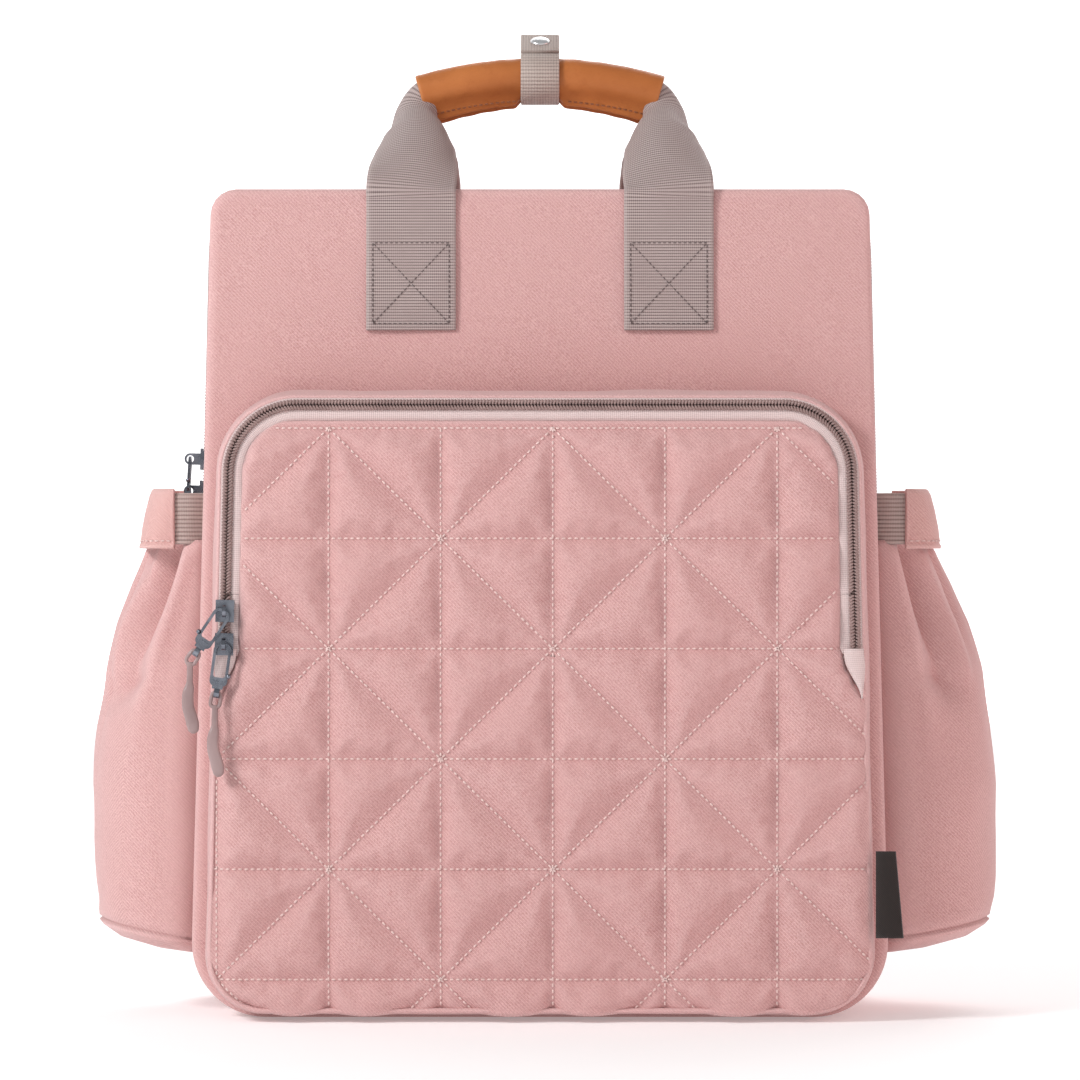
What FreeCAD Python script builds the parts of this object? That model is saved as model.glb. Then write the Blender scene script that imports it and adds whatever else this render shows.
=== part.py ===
"""A diaper backpack: a boxy soft bag with a quilted front pocket, two side pockets and two carry handles.

Millimetres, +Z up, -Y towards the quilted front, +X to the right as that front is seen. The pieces
named left are at +X, the bag's own left. The origin is on the floor, under the middle of the bag.
Every piece is written to parts/NODE.step.
"""
import FreeCAD, Part
import math
import os

V = FreeCAD.Vector

# ---- driving dimensions -------------------------------------------------------------------------
HEIGHT = 379.0          # main body, floor to top edge
HALF_TOP = 151.0        # half width at the top
HALF_BASE = 160.0       # half width at the floor
TOP_RADIUS = 12.0       # corners of the front outline
BASE_RADIUS = 34.0
FRONT_BASE, FRONT_TOP = -62.0, -52.0    # the front plane leans back a little
BACK_BASE, BACK_TOP = 72.0, 66.0
WALL = 4.0              # fabric with its foam
LINING = 1.0
MOUTH_HALF = 139.0      # half length of the main opening
MOUTH_MID = 7.0         # the main zip runs at this Y
MOUTH_TOP = HEIGHT - 0.5
FLAP_T = 3.0
MOUTH_FRONT_Y = FRONT_TOP + WALL + LINING + 1.2     # where the two closing strips fold
MOUTH_BACK_Y = BACK_TOP - WALL - LINING - 1.2
LINING_TOP = HEIGHT - 12
BOARD_T = 3.0

ORGANISER_HALF, ORGANISER_TOP = 130.0, 150.0        # three open pockets inside, on the back wall
ORGANISER_FRONT = 48.0
ORGANISER_WALL = 1.5
ORGANISER_SPLIT = 44.0

POCKET_HALF_TOP = 147.0     # front pocket outline
POCKET_HALF_BASE = 153.0
POCKET_TOP = 286.0
POCKET_TOP_RADIUS = 38.0
POCKET_BASE_RADIUS = 28.0
POCKET_FLOOR = 2.0
POCKET_WALL = 3.0
POCKET_Y = -88.0            # front edge of the pocket's side band
QUILT_T = 6.5
FOLD_Z = 194.0              # the pocket opens above this line, clear of the parked sliders
FOLD_GAP = 0.4              # each side of the line

TAPE_T = 1.5                # zip tape and coil
COIL_T = 2.0
COIL_HALF_W = 1.9
COIL_GAP = 0.8
COIL_INSET = 7.0            # middle of the coil, in from the pocket's outline
TAPE_EDGE = 12.5            # inner edge of the inner tape
ZIP_END_Z = 166.0
TAPE_END_Z = 160.0
COVER_T, COVER_L = 0.6, 14.0            # the pieces that cover the zip's ends
LABEL_BOTTOM, LABEL_TOP = 38.0, 78.0    # a folded label in the pocket's side seam
LABEL_OUT, LABEL_T = 13.0, 1.4

WEB_W = 41.0                # handle webbing
WEB_T = 1.8
LEG_X = 59.0                # middle of each handle leg
FRONT_PATCH_BOTTOM = 314.0
BACK_PATCH_BOTTOM = 358.0
GRIP_R = 9.0
GRIP_HALF = 56.0            # the grip ends here
GRIP_RISE = 8.0             # its middle is this much higher than its ends
GRIP_END_Z = 426.0
GRIP_OFFSET = 9.6           # grip axis, out from MOUTH_MID
HANDLE_PIVOT_Z = 381.5
SNAP_HALF_W = 9.0           # the strap that holds the two grips together
SNAP_CLEAR = 0.5
TAB_L, TAB_TILT = 21.0, 24.0
TAB_PIVOT = V(0, MOUTH_MID - GRIP_OFFSET, GRIP_END_Z + GRIP_RISE + GRIP_R + SNAP_CLEAR + WEB_T + 0.2)

SIDE_POCKET_FRONT, SIDE_POCKET_BACK = -46.0, 58.0
SIDE_POCKET_WALL = 2.5
CASING_BOTTOM, CASING_TOP = 214.0, 242.0
CASING_INNER = 167.0        # the elastic starts here, inside the hemmed casing
SIDE_SWELL = 211.0          # the pockets' fullest half width
SIDE_NECK = 184.0           # and at the gathered top
SIDE_STUD = V(-194.9, 2, 178)
SIDE_ZIP_END, SIDE_TAPE_HALF = 230.0, 8.0           # the main zip's runs down the gussets

PAD_T, PAD_HALF = 7.0, 116.0            # back pad
PAD_BOTTOM, PAD_TOP = 58.0, 328.0
YOKE_TOP, YOKE_BOTTOM, YOKE_HALF = 355.0, 334.0, 84.0
STRAP_Y, STRAP_T = 84.5, 11.0   # shoulder straps
STRAP_BOW = 14.0            # how far their middle stands out from their ends
STRAP_TOP_Z = 332.0
STRAP_END_Z = 152.0
BUCKLE_X0, BUCKLE_X1 = 79.0, 111.0
BUCKLE_Y, BUCKLE_T, BUCKLE_H = STRAP_Y + 2.6, 5.0, 23.5
ANCHOR_Z = 52.0
ANCHOR_X0, ANCHOR_X1 = 119.0, 148.0

SLIDER_L, SLIDER_W = 10.0, 8.4
BAIL_R, BAIL_HOLE = 2.7, 1.7
BAIL_OUT = 6.5              # bail axis, in front of the coil
CLASP_L, TAIL_L = 22.0, 38.0
CLASP_WIRE = 1.3

os.makedirs("parts", exist_ok=True)


# ---- small tools --------------------------------------------------------------------------------
def front_view(u, v):
    """A point of an outline drawn in the XZ plane."""
    return V(u, 0, v)


def side_view(u, v):
    """A point of an outline drawn in the YZ plane."""
    return V(0, u, v)


def plan_view(u, v):
    return V(u, v, 0)


def rounded_face(points, radii, place):
    """A face bounded by straight runs, with a tangent arc of the given radius at each corner."""
    n = len(points)
    edges, ends = [], []
    for i, (u, v) in enumerate(points):
        before = V(*points[i - 1], 0) - V(u, v, 0)
        after = V(*points[(i + 1) % n], 0) - V(u, v, 0)
        corner = V(u, v, 0)
        r = radii[i]
        if r <= 0:
            ends.append((corner, None, corner))
            continue
        before.normalize()
        after.normalize()
        half = before.getAngle(after) / 2
        reach = r / math.tan(half)
        middle = before + after
        middle.normalize()
        centre = corner + middle * (r / math.sin(half))
        ends.append((corner + before * reach, centre - middle * r, corner + after * reach))
    for i, (start, mid, end) in enumerate(ends):
        if mid is not None:
            edges.append(Part.Arc(*[place(p.x, p.y) for p in (start, mid, end)]).toShape())
        following = ends[(i + 1) % n][0]
        if (following - end).Length > 1e-6:
            edges.append(Part.LineSegment(place(end.x, end.y), place(following.x, following.y)).toShape())
    return Part.Face(Part.Wire(edges))


def prism(points, radii, place, start, end):
    """The rounded outline, swept from start to end along the axis that its plane leaves out."""
    face = rounded_face(points, radii, place)
    axis = {front_view: V(0, 1, 0), side_view: V(1, 0, 0), plan_view: V(0, 0, 1)}[place]
    face.translate(axis * start)
    return face.extrude(axis * (end - start))


def block(x0, x1, y0, y1, z0, z1):
    return Part.makeBox(x1 - x0, y1 - y0, z1 - z0, V(x0, y0, z0))


def mirrored(shape):
    """The same shape on the other side of the bag."""
    return shape.mirror(V(0, 0, 0), V(1, 0, 0))


def front_y(z):
    return FRONT_BASE + (FRONT_TOP - FRONT_BASE) * z / HEIGHT


def back_y(z):
    return BACK_BASE + (BACK_TOP - BACK_BASE) * z / HEIGHT


def half_width(z):
    """Half the body's width at a height, between its rounded corners."""
    return HALF_BASE + (HALF_TOP - HALF_BASE) * z / HEIGHT


def layer(plane_y, start, end):
    """The space between two planes parallel to the front or back plane, start and end away along Y."""
    low, high = -20.0, HEIGHT + 20.0
    corners = [(plane_y(low) + start, low), (plane_y(high) + start, high),
               (plane_y(high) + end, high), (plane_y(low) + end, low)]
    return prism(corners, [0] * 4, side_view, -260, 260)


def write(name, shape):
    shape = shape.removeSplitter() if len(shape.Solids) == 1 else shape
    if not shape.isValid() or shape.Volume <= 0:
        print("CHECK", name, shape.isValid(), shape.Volume)
    shape.exportStep("parts/" + name + ".step")


# ---- the main body ------------------------------------------------------------------------------
def body_outline(inset):
    """Corner points and radii of the body seen from the front, taken in by inset."""
    points = [(-HALF_BASE + inset, inset), (HALF_BASE - inset, inset),
              (HALF_TOP - inset, HEIGHT - inset), (-HALF_TOP + inset, HEIGHT - inset)]
    radii = [BASE_RADIUS - inset] * 2 + [max(TOP_RADIUS - inset, 2.0)] * 2
    return points, radii


def body_block(inset):
    points, radii = body_outline(inset)
    wide = prism(points, radii, front_view, -200, 200)
    deep = layer(front_y, inset, 400).common(layer(back_y, -inset, -400))
    return wide.common(deep)


def make_body():
    outer, inner = body_block(0), body_block(WALL)
    front_zone = layer(front_y, -100, WALL)
    back_zone = layer(back_y, -WALL, 100)
    mouth = block(-MOUTH_HALF, MOUTH_HALF, -200, 200, HEIGHT - WALL - LINING - 3, HEIGHT + 5)
    base_zone = block(-HALF_BASE + BASE_RADIUS, HALF_BASE - BASE_RADIUS, -200, 200, -5, WALL + 1)
    band = outer.cut(front_zone).cut(back_zone).cut(inner)
    sides = band.cut(mouth).cut(base_zone)
    write("front_panel", outer.common(front_zone))
    write("back_panel", outer.common(back_zone))
    write("base_panel", band.common(base_zone))
    write("left_gusset", sides.common(block(0, 300, -200, 200, -5, 500)))
    write("right_gusset", sides.common(block(-300, 0, -200, 200, -5, 500)))
    lining = inner.cut(body_block(WALL + LINING))
    write("lining", lining.common(block(-300, 300, -200, 200, -5, LINING_TOP)))
    floor = WALL + LINING + 0.3
    front, back = front_y(floor) + 10, back_y(floor) - 10
    half = HALF_BASE - BASE_RADIUS
    board = prism([(-half, front), (half, front), (half, back), (-half, back)],
                  [12] * 4, plan_view, floor, floor + BOARD_T)
    write("base_board", board)
    write("inner_organiser", organiser(floor + BOARD_T + 0.7))


def organiser(floor):
    """Three pockets side by side, against the lining of the back wall."""
    wall, against = ORGANISER_WALL, -WALL - LINING - 0.3
    outer = block(-ORGANISER_HALF, ORGANISER_HALF, ORGANISER_FRONT, BACK_BASE, floor, ORGANISER_TOP)
    outer = outer.common(layer(back_y, -60, against))
    edges = [-ORGANISER_HALF, -ORGANISER_SPLIT, ORGANISER_SPLIT, ORGANISER_HALF]
    hollows = []
    for i in range(3):
        low = edges[i] + (wall if i == 0 else wall / 2)
        high = edges[i + 1] - (wall if i == 2 else wall / 2)
        hollows.append(block(low, high, ORGANISER_FRONT + wall, BACK_BASE, floor + wall, ORGANISER_TOP + 10))
    return outer.cut(Part.Compound(hollows).common(layer(back_y, -60, against - wall)))


def make_mouth():
    """The two fabric strips that close the top, with half of the main zip on each."""
    low, half = MOUTH_TOP - FLAP_T, MOUTH_HALF - 2.5
    coil_inner, coil_outer = COIL_GAP / 2, COIL_GAP / 2 + COIL_HALF_W
    tape_inner = coil_outer - 0.6

    def rail(side, inner, outer, z0, thick):
        """A bar along X, between two distances from the zip's middle."""
        y = sorted((MOUTH_MID + side * inner, MOUTH_MID + side * outer))
        return block(-half, half, *y, z0, z0 + thick)

    for name, side, hinge_y in (("front", -1, MOUTH_FRONT_Y), ("back", 1, MOUTH_BACK_Y)):
        tape_outer = tape_inner + 4.0
        write("mouth_strip_" + name, rail(side, tape_outer, abs(hinge_y - MOUTH_MID), low, FLAP_T))
        write("main_zip_tape_" + name, rail(side, tape_inner, tape_outer, low, TAPE_T))
        write("main_zip_coil_" + name, rail(side, coil_inner, coil_outer, low + TAPE_T, COIL_T))


# ---- the front pocket ---------------------------------------------------------------------------
def pocket_outline(inset):
    floor = POCKET_FLOOR + inset
    points = [(-POCKET_HALF_BASE + inset, floor), (POCKET_HALF_BASE - inset, floor),
              (POCKET_HALF_TOP - inset, POCKET_TOP - inset), (-POCKET_HALF_TOP + inset, POCKET_TOP - inset)]
    radii = [max(POCKET_BASE_RADIUS - inset, 3)] * 2 + [POCKET_TOP_RADIUS - inset] * 2
    return points, radii


def pocket_block(inset, y0, y1):
    return prism(*pocket_outline(inset), front_view, y0, y1)


def pocket_frame(outside, inside, y0, y1, z0, z1=400.0):
    """A frame that follows the pocket's outline, between two insets and two heights."""
    ring = pocket_block(outside, y0, y1).cut(pocket_block(inside, y0 - 1, y1 + 1))
    return ring.common(block(-300, 300, y0 - 1, y1 + 1, z0, z1))


def quilt(inset, z0, z1):
    zone = block(-300, 300, POCKET_Y - QUILT_T - 1, 0, z0, z1)
    return pocket_block(inset, POCKET_Y - QUILT_T, POCKET_Y).common(zone)


def make_front_pocket():
    band = pocket_block(0, POCKET_Y, 0).cut(pocket_block(POCKET_WALL, POCKET_Y - 1, 1))
    write("pocket_band", band.common(layer(front_y, -100, 0)))
    above, below = FOLD_Z + FOLD_GAP, FOLD_Z - FOLD_GAP
    write("quilt_panel_upper", quilt(TAPE_EDGE, above, 400))
    write("quilt_panel_lower", quilt(TAPE_EDGE, TAPE_END_Z - 1, below).fuse(quilt(0, 0, TAPE_END_Z)))

    tape_y = POCKET_Y - TAPE_T
    outer_coil = (COIL_INSET - COIL_GAP / 2 - COIL_HALF_W, COIL_INSET - COIL_GAP / 2)
    inner_coil = (COIL_INSET + COIL_GAP / 2, COIL_INSET + COIL_GAP / 2 + COIL_HALF_W)
    outer_tape = (0, outer_coil[1] - 0.4)
    inner_tape = (inner_coil[0] + 0.4, TAPE_EDGE)

    def tape(insets, z0, z1=400):
        return pocket_frame(*insets, tape_y, POCKET_Y, z0, z1)

    def coil(insets, z0, z1=400):
        return pocket_frame(*insets, tape_y - COIL_T, tape_y, z0, z1)

    write("front_zip_tape_fixed",
          Part.Compound([tape(outer_tape, TAPE_END_Z), tape(inner_tape, TAPE_END_Z, below)]))
    write("front_zip_coil_fixed",
          Part.Compound([coil(outer_coil, ZIP_END_Z), coil(inner_coil, ZIP_END_Z, below)]))
    write("front_zip_tape_flap", tape(inner_tape, above))
    write("front_zip_coil_flap", coil(inner_coil, above))

    face_y = POCKET_Y - QUILT_T
    edge, low = -POCKET_HALF_TOP - 2.5, TAPE_END_Z - COVER_L
    cover = prism([(edge, low), (edge + 4, low), (edge + 11, TAPE_END_Z), (edge, TAPE_END_Z)],
                  [1, 1, 0, 0], front_view, face_y - COVER_T, face_y)
    write("zip_end_covers", Part.Compound([cover, mirrored(cover)]))
    seam = POCKET_HALF_BASE - 1.0
    label = prism([(seam + 0.7, LABEL_BOTTOM), (seam + LABEL_OUT, LABEL_BOTTOM + 2),
                   (seam + LABEL_OUT - 4, LABEL_TOP), (seam - 1.3, LABEL_TOP - 1)],
                  [0] * 4, front_view, face_y + 2, face_y + 2 + LABEL_T)
    write("side_label", label.cut(pocket_block(0, -120, 0)))


# ---- sliders and pulls, drawn for a zip on the front and placed anywhere -------------------------
def slider_shape():
    """A cap over the coil with a lip each side and a bail for the pull. The origin is on the bail's axis."""
    plate_back = BAIL_OUT - 0.4
    plate_front = plate_back - 1.2
    half = SLIDER_W / 2
    plate = block(-half, half, plate_front, plate_back, -SLIDER_L / 2, SLIDER_L / 2)
    lip = block(half - 1.0, half, plate_back, plate_back + COIL_T + 0.1, 1 - SLIDER_L / 2, SLIDER_L / 2 - 1)
    ear = Part.makeCylinder(BAIL_R, 1.6, V(-0.8, 0, 0), V(1, 0, 0))
    post = block(-0.8, 0.8, 0, plate_front + 0.1, -BAIL_R, BAIL_R)
    hole = Part.makeCylinder(BAIL_HOLE, 4, V(-2, 0, 0), V(1, 0, 0))
    return plate.fuse([lip, mirrored(lip), ear, post]).cut(hole).removeSplitter()


def clasp_shape(knob_side):
    """A trigger clasp through the bail: an open oval, a collar, a knob on one side and an eye below."""
    half, thin = 4.0, CLASP_WIRE / 2
    low = -CLASP_L + 3
    oval = prism([(-half, low), (half, low), (half, thin), (-half, thin)],
                 [2.5, 2.5, 3.4, 3.4], front_view, -thin, thin)
    inner = half - CLASP_WIRE
    window = prism([(-inner, low + 4), (inner, low + 4), (inner, -thin), (-inner, -thin)],
                   [1.2, 1.2, 2.1, 2.1], front_view, -2, 2)
    collar = block(-2.4, 2.4, -1.3, 1.3, low - 1.2, low + 2.6)
    knob = Part.makeSphere(1.2, V(knob_side * (half + 0.2), 0, low + 5))
    eye = Part.makeCylinder(2.3, 2.4, V(-1.2, 0, -CLASP_L), V(1, 0, 0))
    eye_hole = Part.makeCylinder(1.25, 6, V(-3, 0, -CLASP_L), V(1, 0, 0))
    return oval.cut(window).fuse([collar, knob, eye]).cut(eye_hole).removeSplitter()


def tail_shape(lean):
    """A loop through the clasp's eye, leaned with it, and a straight neck into a flat S shaped grip."""
    pin = Part.makeCylinder(0.9, 4.8, V(-2.4, 0, 0), V(1, 0, 0))
    arm = block(1.3, 2.7, -0.9, 0.9, -5.5, 0.4)
    bridge = block(-2.7, 2.7, -0.9, 0.9, -7.0, -5)
    loop = pin.fuse([arm, mirrored(arm), bridge])
    loop.rotate(V(0, 0, 0), V(0, 1, 0), lean)
    start = hanging_end(6.0, lean)
    neck = block(-1.5, 1.5, -1.1, 1.1, -TAIL_L * 0.42, 0)
    grip = prism([(-2.7, -TAIL_L * 0.32), (2.7, -TAIL_L * 0.32), (2.6, -TAIL_L * 0.62), (3.6, 6 - TAIL_L),
                  (-0.8, 6 - TAIL_L), (-2.2, -TAIL_L * 0.7)],
                 [1.2, 1.2, 12, 2.0, 1.6, 12], front_view, -1.7, 1.7)
    body = neck.fuse(grip)
    body.translate(start)
    return loop.fuse(body).removeSplitter()


def hanging_end(length, lean):
    """Where the end of a piece of that length lies, once it leans sideways."""
    return FreeCAD.Rotation(V(0, 1, 0), lean).multVec(V(0, 0, -length))


def placed(shape, at, lean, turn):
    """The shape leaned about its own front-back axis, turned to its zip's frame, and moved to a point."""
    shape = shape.copy()
    shape.rotate(V(0, 0, 0), V(0, 1, 0), lean)
    shape.Placement = FreeCAD.Placement(at, turn).multiply(shape.Placement)
    return shape


def coil_line_x(z):
    """X of the front zip's coil on the side where the sliders are parked."""
    return -(POCKET_HALF_BASE + (POCKET_HALF_TOP - POCKET_HALF_BASE) * z / POCKET_TOP - COIL_INSET)


def front_bail(z):
    """The bail's axis point of a front-zip slider at a height."""
    return V(coil_line_x(z), POCKET_Y - TAPE_T - COIL_T - BAIL_OUT, z)


def side_bail(z):
    """The bail's axis point of a main-zip slider at a height."""
    return V(-half_width(z) - TAPE_T - COIL_T - BAIL_OUT, MOUTH_MID, z)


FRONT_LEAN = math.degrees(math.atan((POCKET_HALF_BASE - POCKET_HALF_TOP) / POCKET_TOP))
FRONT_TURN = FreeCAD.Rotation()
SIDE_UP = V(HALF_BASE - HALF_TOP, 0, HEIGHT).normalize()
SIDE_TURN = FreeCAD.Rotation(V(0, -1, 0), SIDE_UP.cross(V(0, -1, 0)), SIDE_UP, "ZXY")

PULLS = {
    # name: bail point, the zip's frame, the slider's lean in it, the pull's lean and its knob's side
    "front_lower": (front_bail(171), FRONT_TURN, FRONT_LEAN, 8.0, 1),
    "front_upper": (front_bail(186), FRONT_TURN, FRONT_LEAN, 34.0, -1),
    "main_lower": (side_bail(241), SIDE_TURN, 0.0, 6.0, -1),
    "main_upper": (side_bail(256), SIDE_TURN, 0.0, -30.0, 1),
}


def make_pulls():
    for name, (at, turn, slider_lean, lean, knob_side) in PULLS.items():
        write("slider_" + name, placed(slider_shape(), at, slider_lean, turn))
        write("clasp_" + name, placed(clasp_shape(knob_side), at, lean, turn))
        eye = at + turn.multVec(hanging_end(CLASP_L, lean))
        write("tail_" + name, placed(tail_shape(lean), eye, 0.0, turn))


# ---- the main zip's runs down the sides ----------------------------------------------------------
def make_side_zips():
    """From the mouth over the top corner and down each gusset."""
    def runs(half, inside, outside):
        ring = prism(*body_outline(-outside), front_view, MOUTH_MID - half, MOUTH_MID + half)
        ring = ring.cut(prism(*body_outline(-inside), front_view, -100, 100))
        run = ring.common(block(MOUTH_HALF - 2, 300, -100, 100, SIDE_ZIP_END, 500))
        return Part.Compound([run, mirrored(run)])

    write("side_zip_tapes", runs(SIDE_TAPE_HALF, 0.0, TAPE_T))
    write("side_zip_coils", runs(COIL_HALF_W + COIL_GAP / 2, TAPE_T, TAPE_T + COIL_T))


# ---- carry handles -------------------------------------------------------------------------------
def grip_segment(radius, half_angle):
    """A ring segment along X whose middle is GRIP_RISE above its ends, as a round bar."""
    ring_r = (GRIP_HALF ** 2 + GRIP_RISE ** 2) / (2 * GRIP_RISE)
    centre_z = GRIP_END_Z + GRIP_RISE - ring_r
    circle = Part.Wire(Part.makeCircle(radius, V(0, 0, centre_z + ring_r), V(1, 0, 0)))
    face = Part.Face(circle)
    face.rotate(V(0, 0, centre_z), V(0, 1, 0), -half_angle)
    return face.revolve(V(0, 0, centre_z), V(0, 1, 0), 2 * half_angle)


def handle_shapes(side):
    """Webbing, grip and sewn patches of the front (-1) or back (+1) handle."""
    grip_y = MOUTH_MID + side * GRIP_OFFSET
    pivot_y = FRONT_TOP - 1.5 if side < 0 else BACK_TOP + 1.5
    ring_r = (GRIP_HALF ** 2 + GRIP_RISE ** 2) / (2 * GRIP_RISE)
    end_angle = math.degrees(math.asin(GRIP_HALF / ring_r))
    grip = grip_segment(GRIP_R, end_angle).cut(grip_segment(4.3, end_angle + 1))
    core = grip_segment(4.0, end_angle + 1.2)
    grip.translate(V(0, grip_y, 0))
    core.translate(V(0, grip_y, 0))
    toward = V(0, grip_y - pivot_y, GRIP_END_Z - HANDLE_PIVOT_Z)
    toward.normalize()
    across = V(0, -toward.z, toward.y)
    foot = V(0, pivot_y, HANDLE_PIVOT_Z) + toward * 1.0

    def section(centre, x0, x1, thick):
        corners = [centre + V(x, 0, 0) + across * (s * thick / 2) for x, s in
                   ((x0, -1), (x1, -1), (x1, 1), (x0, 1), (x0, -1))]
        return Part.makePolygon(corners)

    lower = section(foot, LEG_X - WEB_W / 2, LEG_X + WEB_W / 2, WEB_T)
    knee = section(foot + toward * 30, LEG_X - WEB_W / 2, LEG_X + WEB_W / 2 - 2, WEB_T + 1)
    head = section(V(0, grip_y, GRIP_END_Z - 1), GRIP_HALF + 1.0, GRIP_HALF + 10.0, 11.0)
    leg = Part.makeLoft([lower, knee, head], True, True)
    webbing = core.fuse([leg, mirrored(leg)]).cut(grip).removeSplitter()
    plane = front_y if side < 0 else back_y
    zone = layer(plane, min(0, side * WEB_T), max(0, side * WEB_T))
    bottom = FRONT_PATCH_BOTTOM if side < 0 else BACK_PATCH_BOTTOM
    patch = zone.common(block(LEG_X - WEB_W / 2, LEG_X + WEB_W / 2, -150, 150, bottom, HEIGHT))
    return webbing, grip, [patch, mirrored(patch)]


def make_handles():
    sewn_ends = []
    for name, side in (("front", -1), ("back", 1)):
        webbing, grip, patches = handle_shapes(side)
        write("handle_webbing_" + name, webbing)
        write("handle_grip_" + name, grip)
        sewn_ends += patches
    write("handle_sewn_ends", Part.Compound(sewn_ends))


def make_snap_strap():
    """A webbing loop round both grips, and its end, which a press stud closes on top."""
    mid_z = GRIP_END_Z + GRIP_RISE
    y0, y1 = MOUTH_MID - GRIP_OFFSET, MOUTH_MID + GRIP_OFFSET

    def stadium(r):
        points = [(y0 - r, mid_z - r), (y1 + r, mid_z - r), (y1 + r, mid_z + r), (y0 - r, mid_z + r)]
        return prism(points, [r - 0.01] * 4, side_view, -SNAP_HALF_W, SNAP_HALF_W)

    inner_r = GRIP_R + SNAP_CLEAR
    write("snap_loop", stadium(inner_r + WEB_T).cut(stadium(inner_r)))
    low, high, stud_y = 0.2, 0.2 + WEB_T, 0.6 * TAB_L
    tab = block(-SNAP_HALF_W, SNAP_HALF_W, 0, TAB_L, low, high)
    cap = Part.makeCylinder(4.0, 1.4, V(0, stud_y, high), V(0, 0, 1))
    cap = cap.makeFillet(0.8, [e for e in cap.Edges if e.BoundBox.ZMin > high + 1.3])
    stud = Part.makeCylinder(2.4, 1.0, V(0, stud_y, low - 1.0), V(0, 0, 1))
    for name, shape in (("snap_tab", tab), ("snap_stud", Part.Compound([cap, stud]))):
        shape.rotate(V(0, 0, 0), V(1, 0, 0), TAB_TILT)
        shape.translate(TAB_PIVOT)
        write(name, shape)


# ---- side pockets --------------------------------------------------------------------------------
def side_profile(inset):
    """The right side pocket seen from the front: it swells below its gathered top."""
    points = [(-140.0, 38.0 + inset), (-178.0 + inset * 0.5, 27.0 + inset),
              (5 - SIDE_SWELL + inset, 43.0 + inset), (-SIDE_SWELL + inset, 88.0),
              (7 - SIDE_SWELL + inset, 150.0), (-SIDE_NECK + inset, CASING_BOTTOM),
              (6 - SIDE_NECK + inset, CASING_TOP), (6 - SIDE_NECK + inset, 300.0), (-140.0, 300.0)]
    radii = [0, 10, 12, 60, 90, 30, 0, 0, 0]
    return points, radii


def side_space(inset):
    return prism(*side_profile(inset), front_view, SIDE_POCKET_FRONT + inset, SIDE_POCKET_BACK - inset)


def make_side_pockets():
    shell = side_space(0).cut(side_space(SIDE_POCKET_WALL)).cut(body_block(0))
    pocket = shell.common(block(-300, -100, -200, 200, 0, CASING_BOTTOM - 0.2))
    top = shell.common(block(-300, -100, -200, 200, CASING_BOTTOM, CASING_TOP))
    casing = top.common(block(-300, -CASING_INNER, -200, 200, 0, 400))
    elastic_zone = side_space(0.6).cut(side_space(SIDE_POCKET_WALL - 0.6)).cut(body_block(0))
    band = block(0.2 - CASING_INNER, -100, -200, 200, CASING_BOTTOM + 1.5, CASING_TOP - 1.5)
    elastic = elastic_zone.common(band)
    stud = Part.makeCylinder(5.5, 2.0, SIDE_STUD, V(-1, 0, 0.3))
    stud = stud.cut(side_space(0))
    write("side_pocket_right", pocket)
    write("side_pocket_left", mirrored(pocket))
    write("pocket_casings", Part.Compound([casing, mirrored(casing)]))
    write("pocket_elastics", Part.Compound([elastic, mirrored(elastic)]))
    write("pocket_stud", stud)


# ---- the back: pad, yoke and shoulder straps -----------------------------------------------------
def bowed_layer(thick):
    """The space that a strap fills: thick, upright at its middle and bowed out between its two ends."""
    half_span = (STRAP_TOP_Z - STRAP_END_Z) / 2
    radius = (half_span ** 2 + STRAP_BOW ** 2) / (2 * STRAP_BOW)
    centre = V(-200, STRAP_Y + STRAP_BOW - radius, STRAP_END_Z + half_span)
    inner, outer = [Part.makeCylinder(r, 400, centre, V(1, 0, 0)) for r in (radius, radius + thick)]
    return outer, inner


def shoulder_strap():
    """Seen from behind: narrow at the yoke, curving outwards to a wide end above the buckle."""
    outline = [(16, STRAP_TOP_Z), (42, 240), (72, STRAP_END_Z + 12), (78, STRAP_END_Z),
               (112, STRAP_END_Z), (120, STRAP_END_Z + 12), (104, 250), (82, STRAP_TOP_Z)]
    strap = prism(outline, [4, 120, 8, 6, 6, 8, 120, 4], front_view, STRAP_Y - 20, STRAP_Y + STRAP_T + 30)
    outer, inner = bowed_layer(STRAP_T)
    return strap.common(outer).cut(inner)


def ladder_buckle():
    """A frame with three slots, under the strap's lower end."""
    top, bottom = STRAP_END_Z - 0.5, STRAP_END_Z - 0.5 - BUCKLE_H
    buckle = prism([(BUCKLE_X0, bottom), (BUCKLE_X1, bottom), (BUCKLE_X1, top), (BUCKLE_X0, top)],
                   [4, 4, 3, 3], front_view, BUCKLE_Y, BUCKLE_Y + BUCKLE_T)
    for below in (21, 14, 7.5):
        slot_z = STRAP_END_Z - below
        buckle = buckle.cut(block(BUCKLE_X0 + 3.2, BUCKLE_X1 - 3.2, 0, 200, slot_z, slot_z + 4.5))
    return buckle


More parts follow.
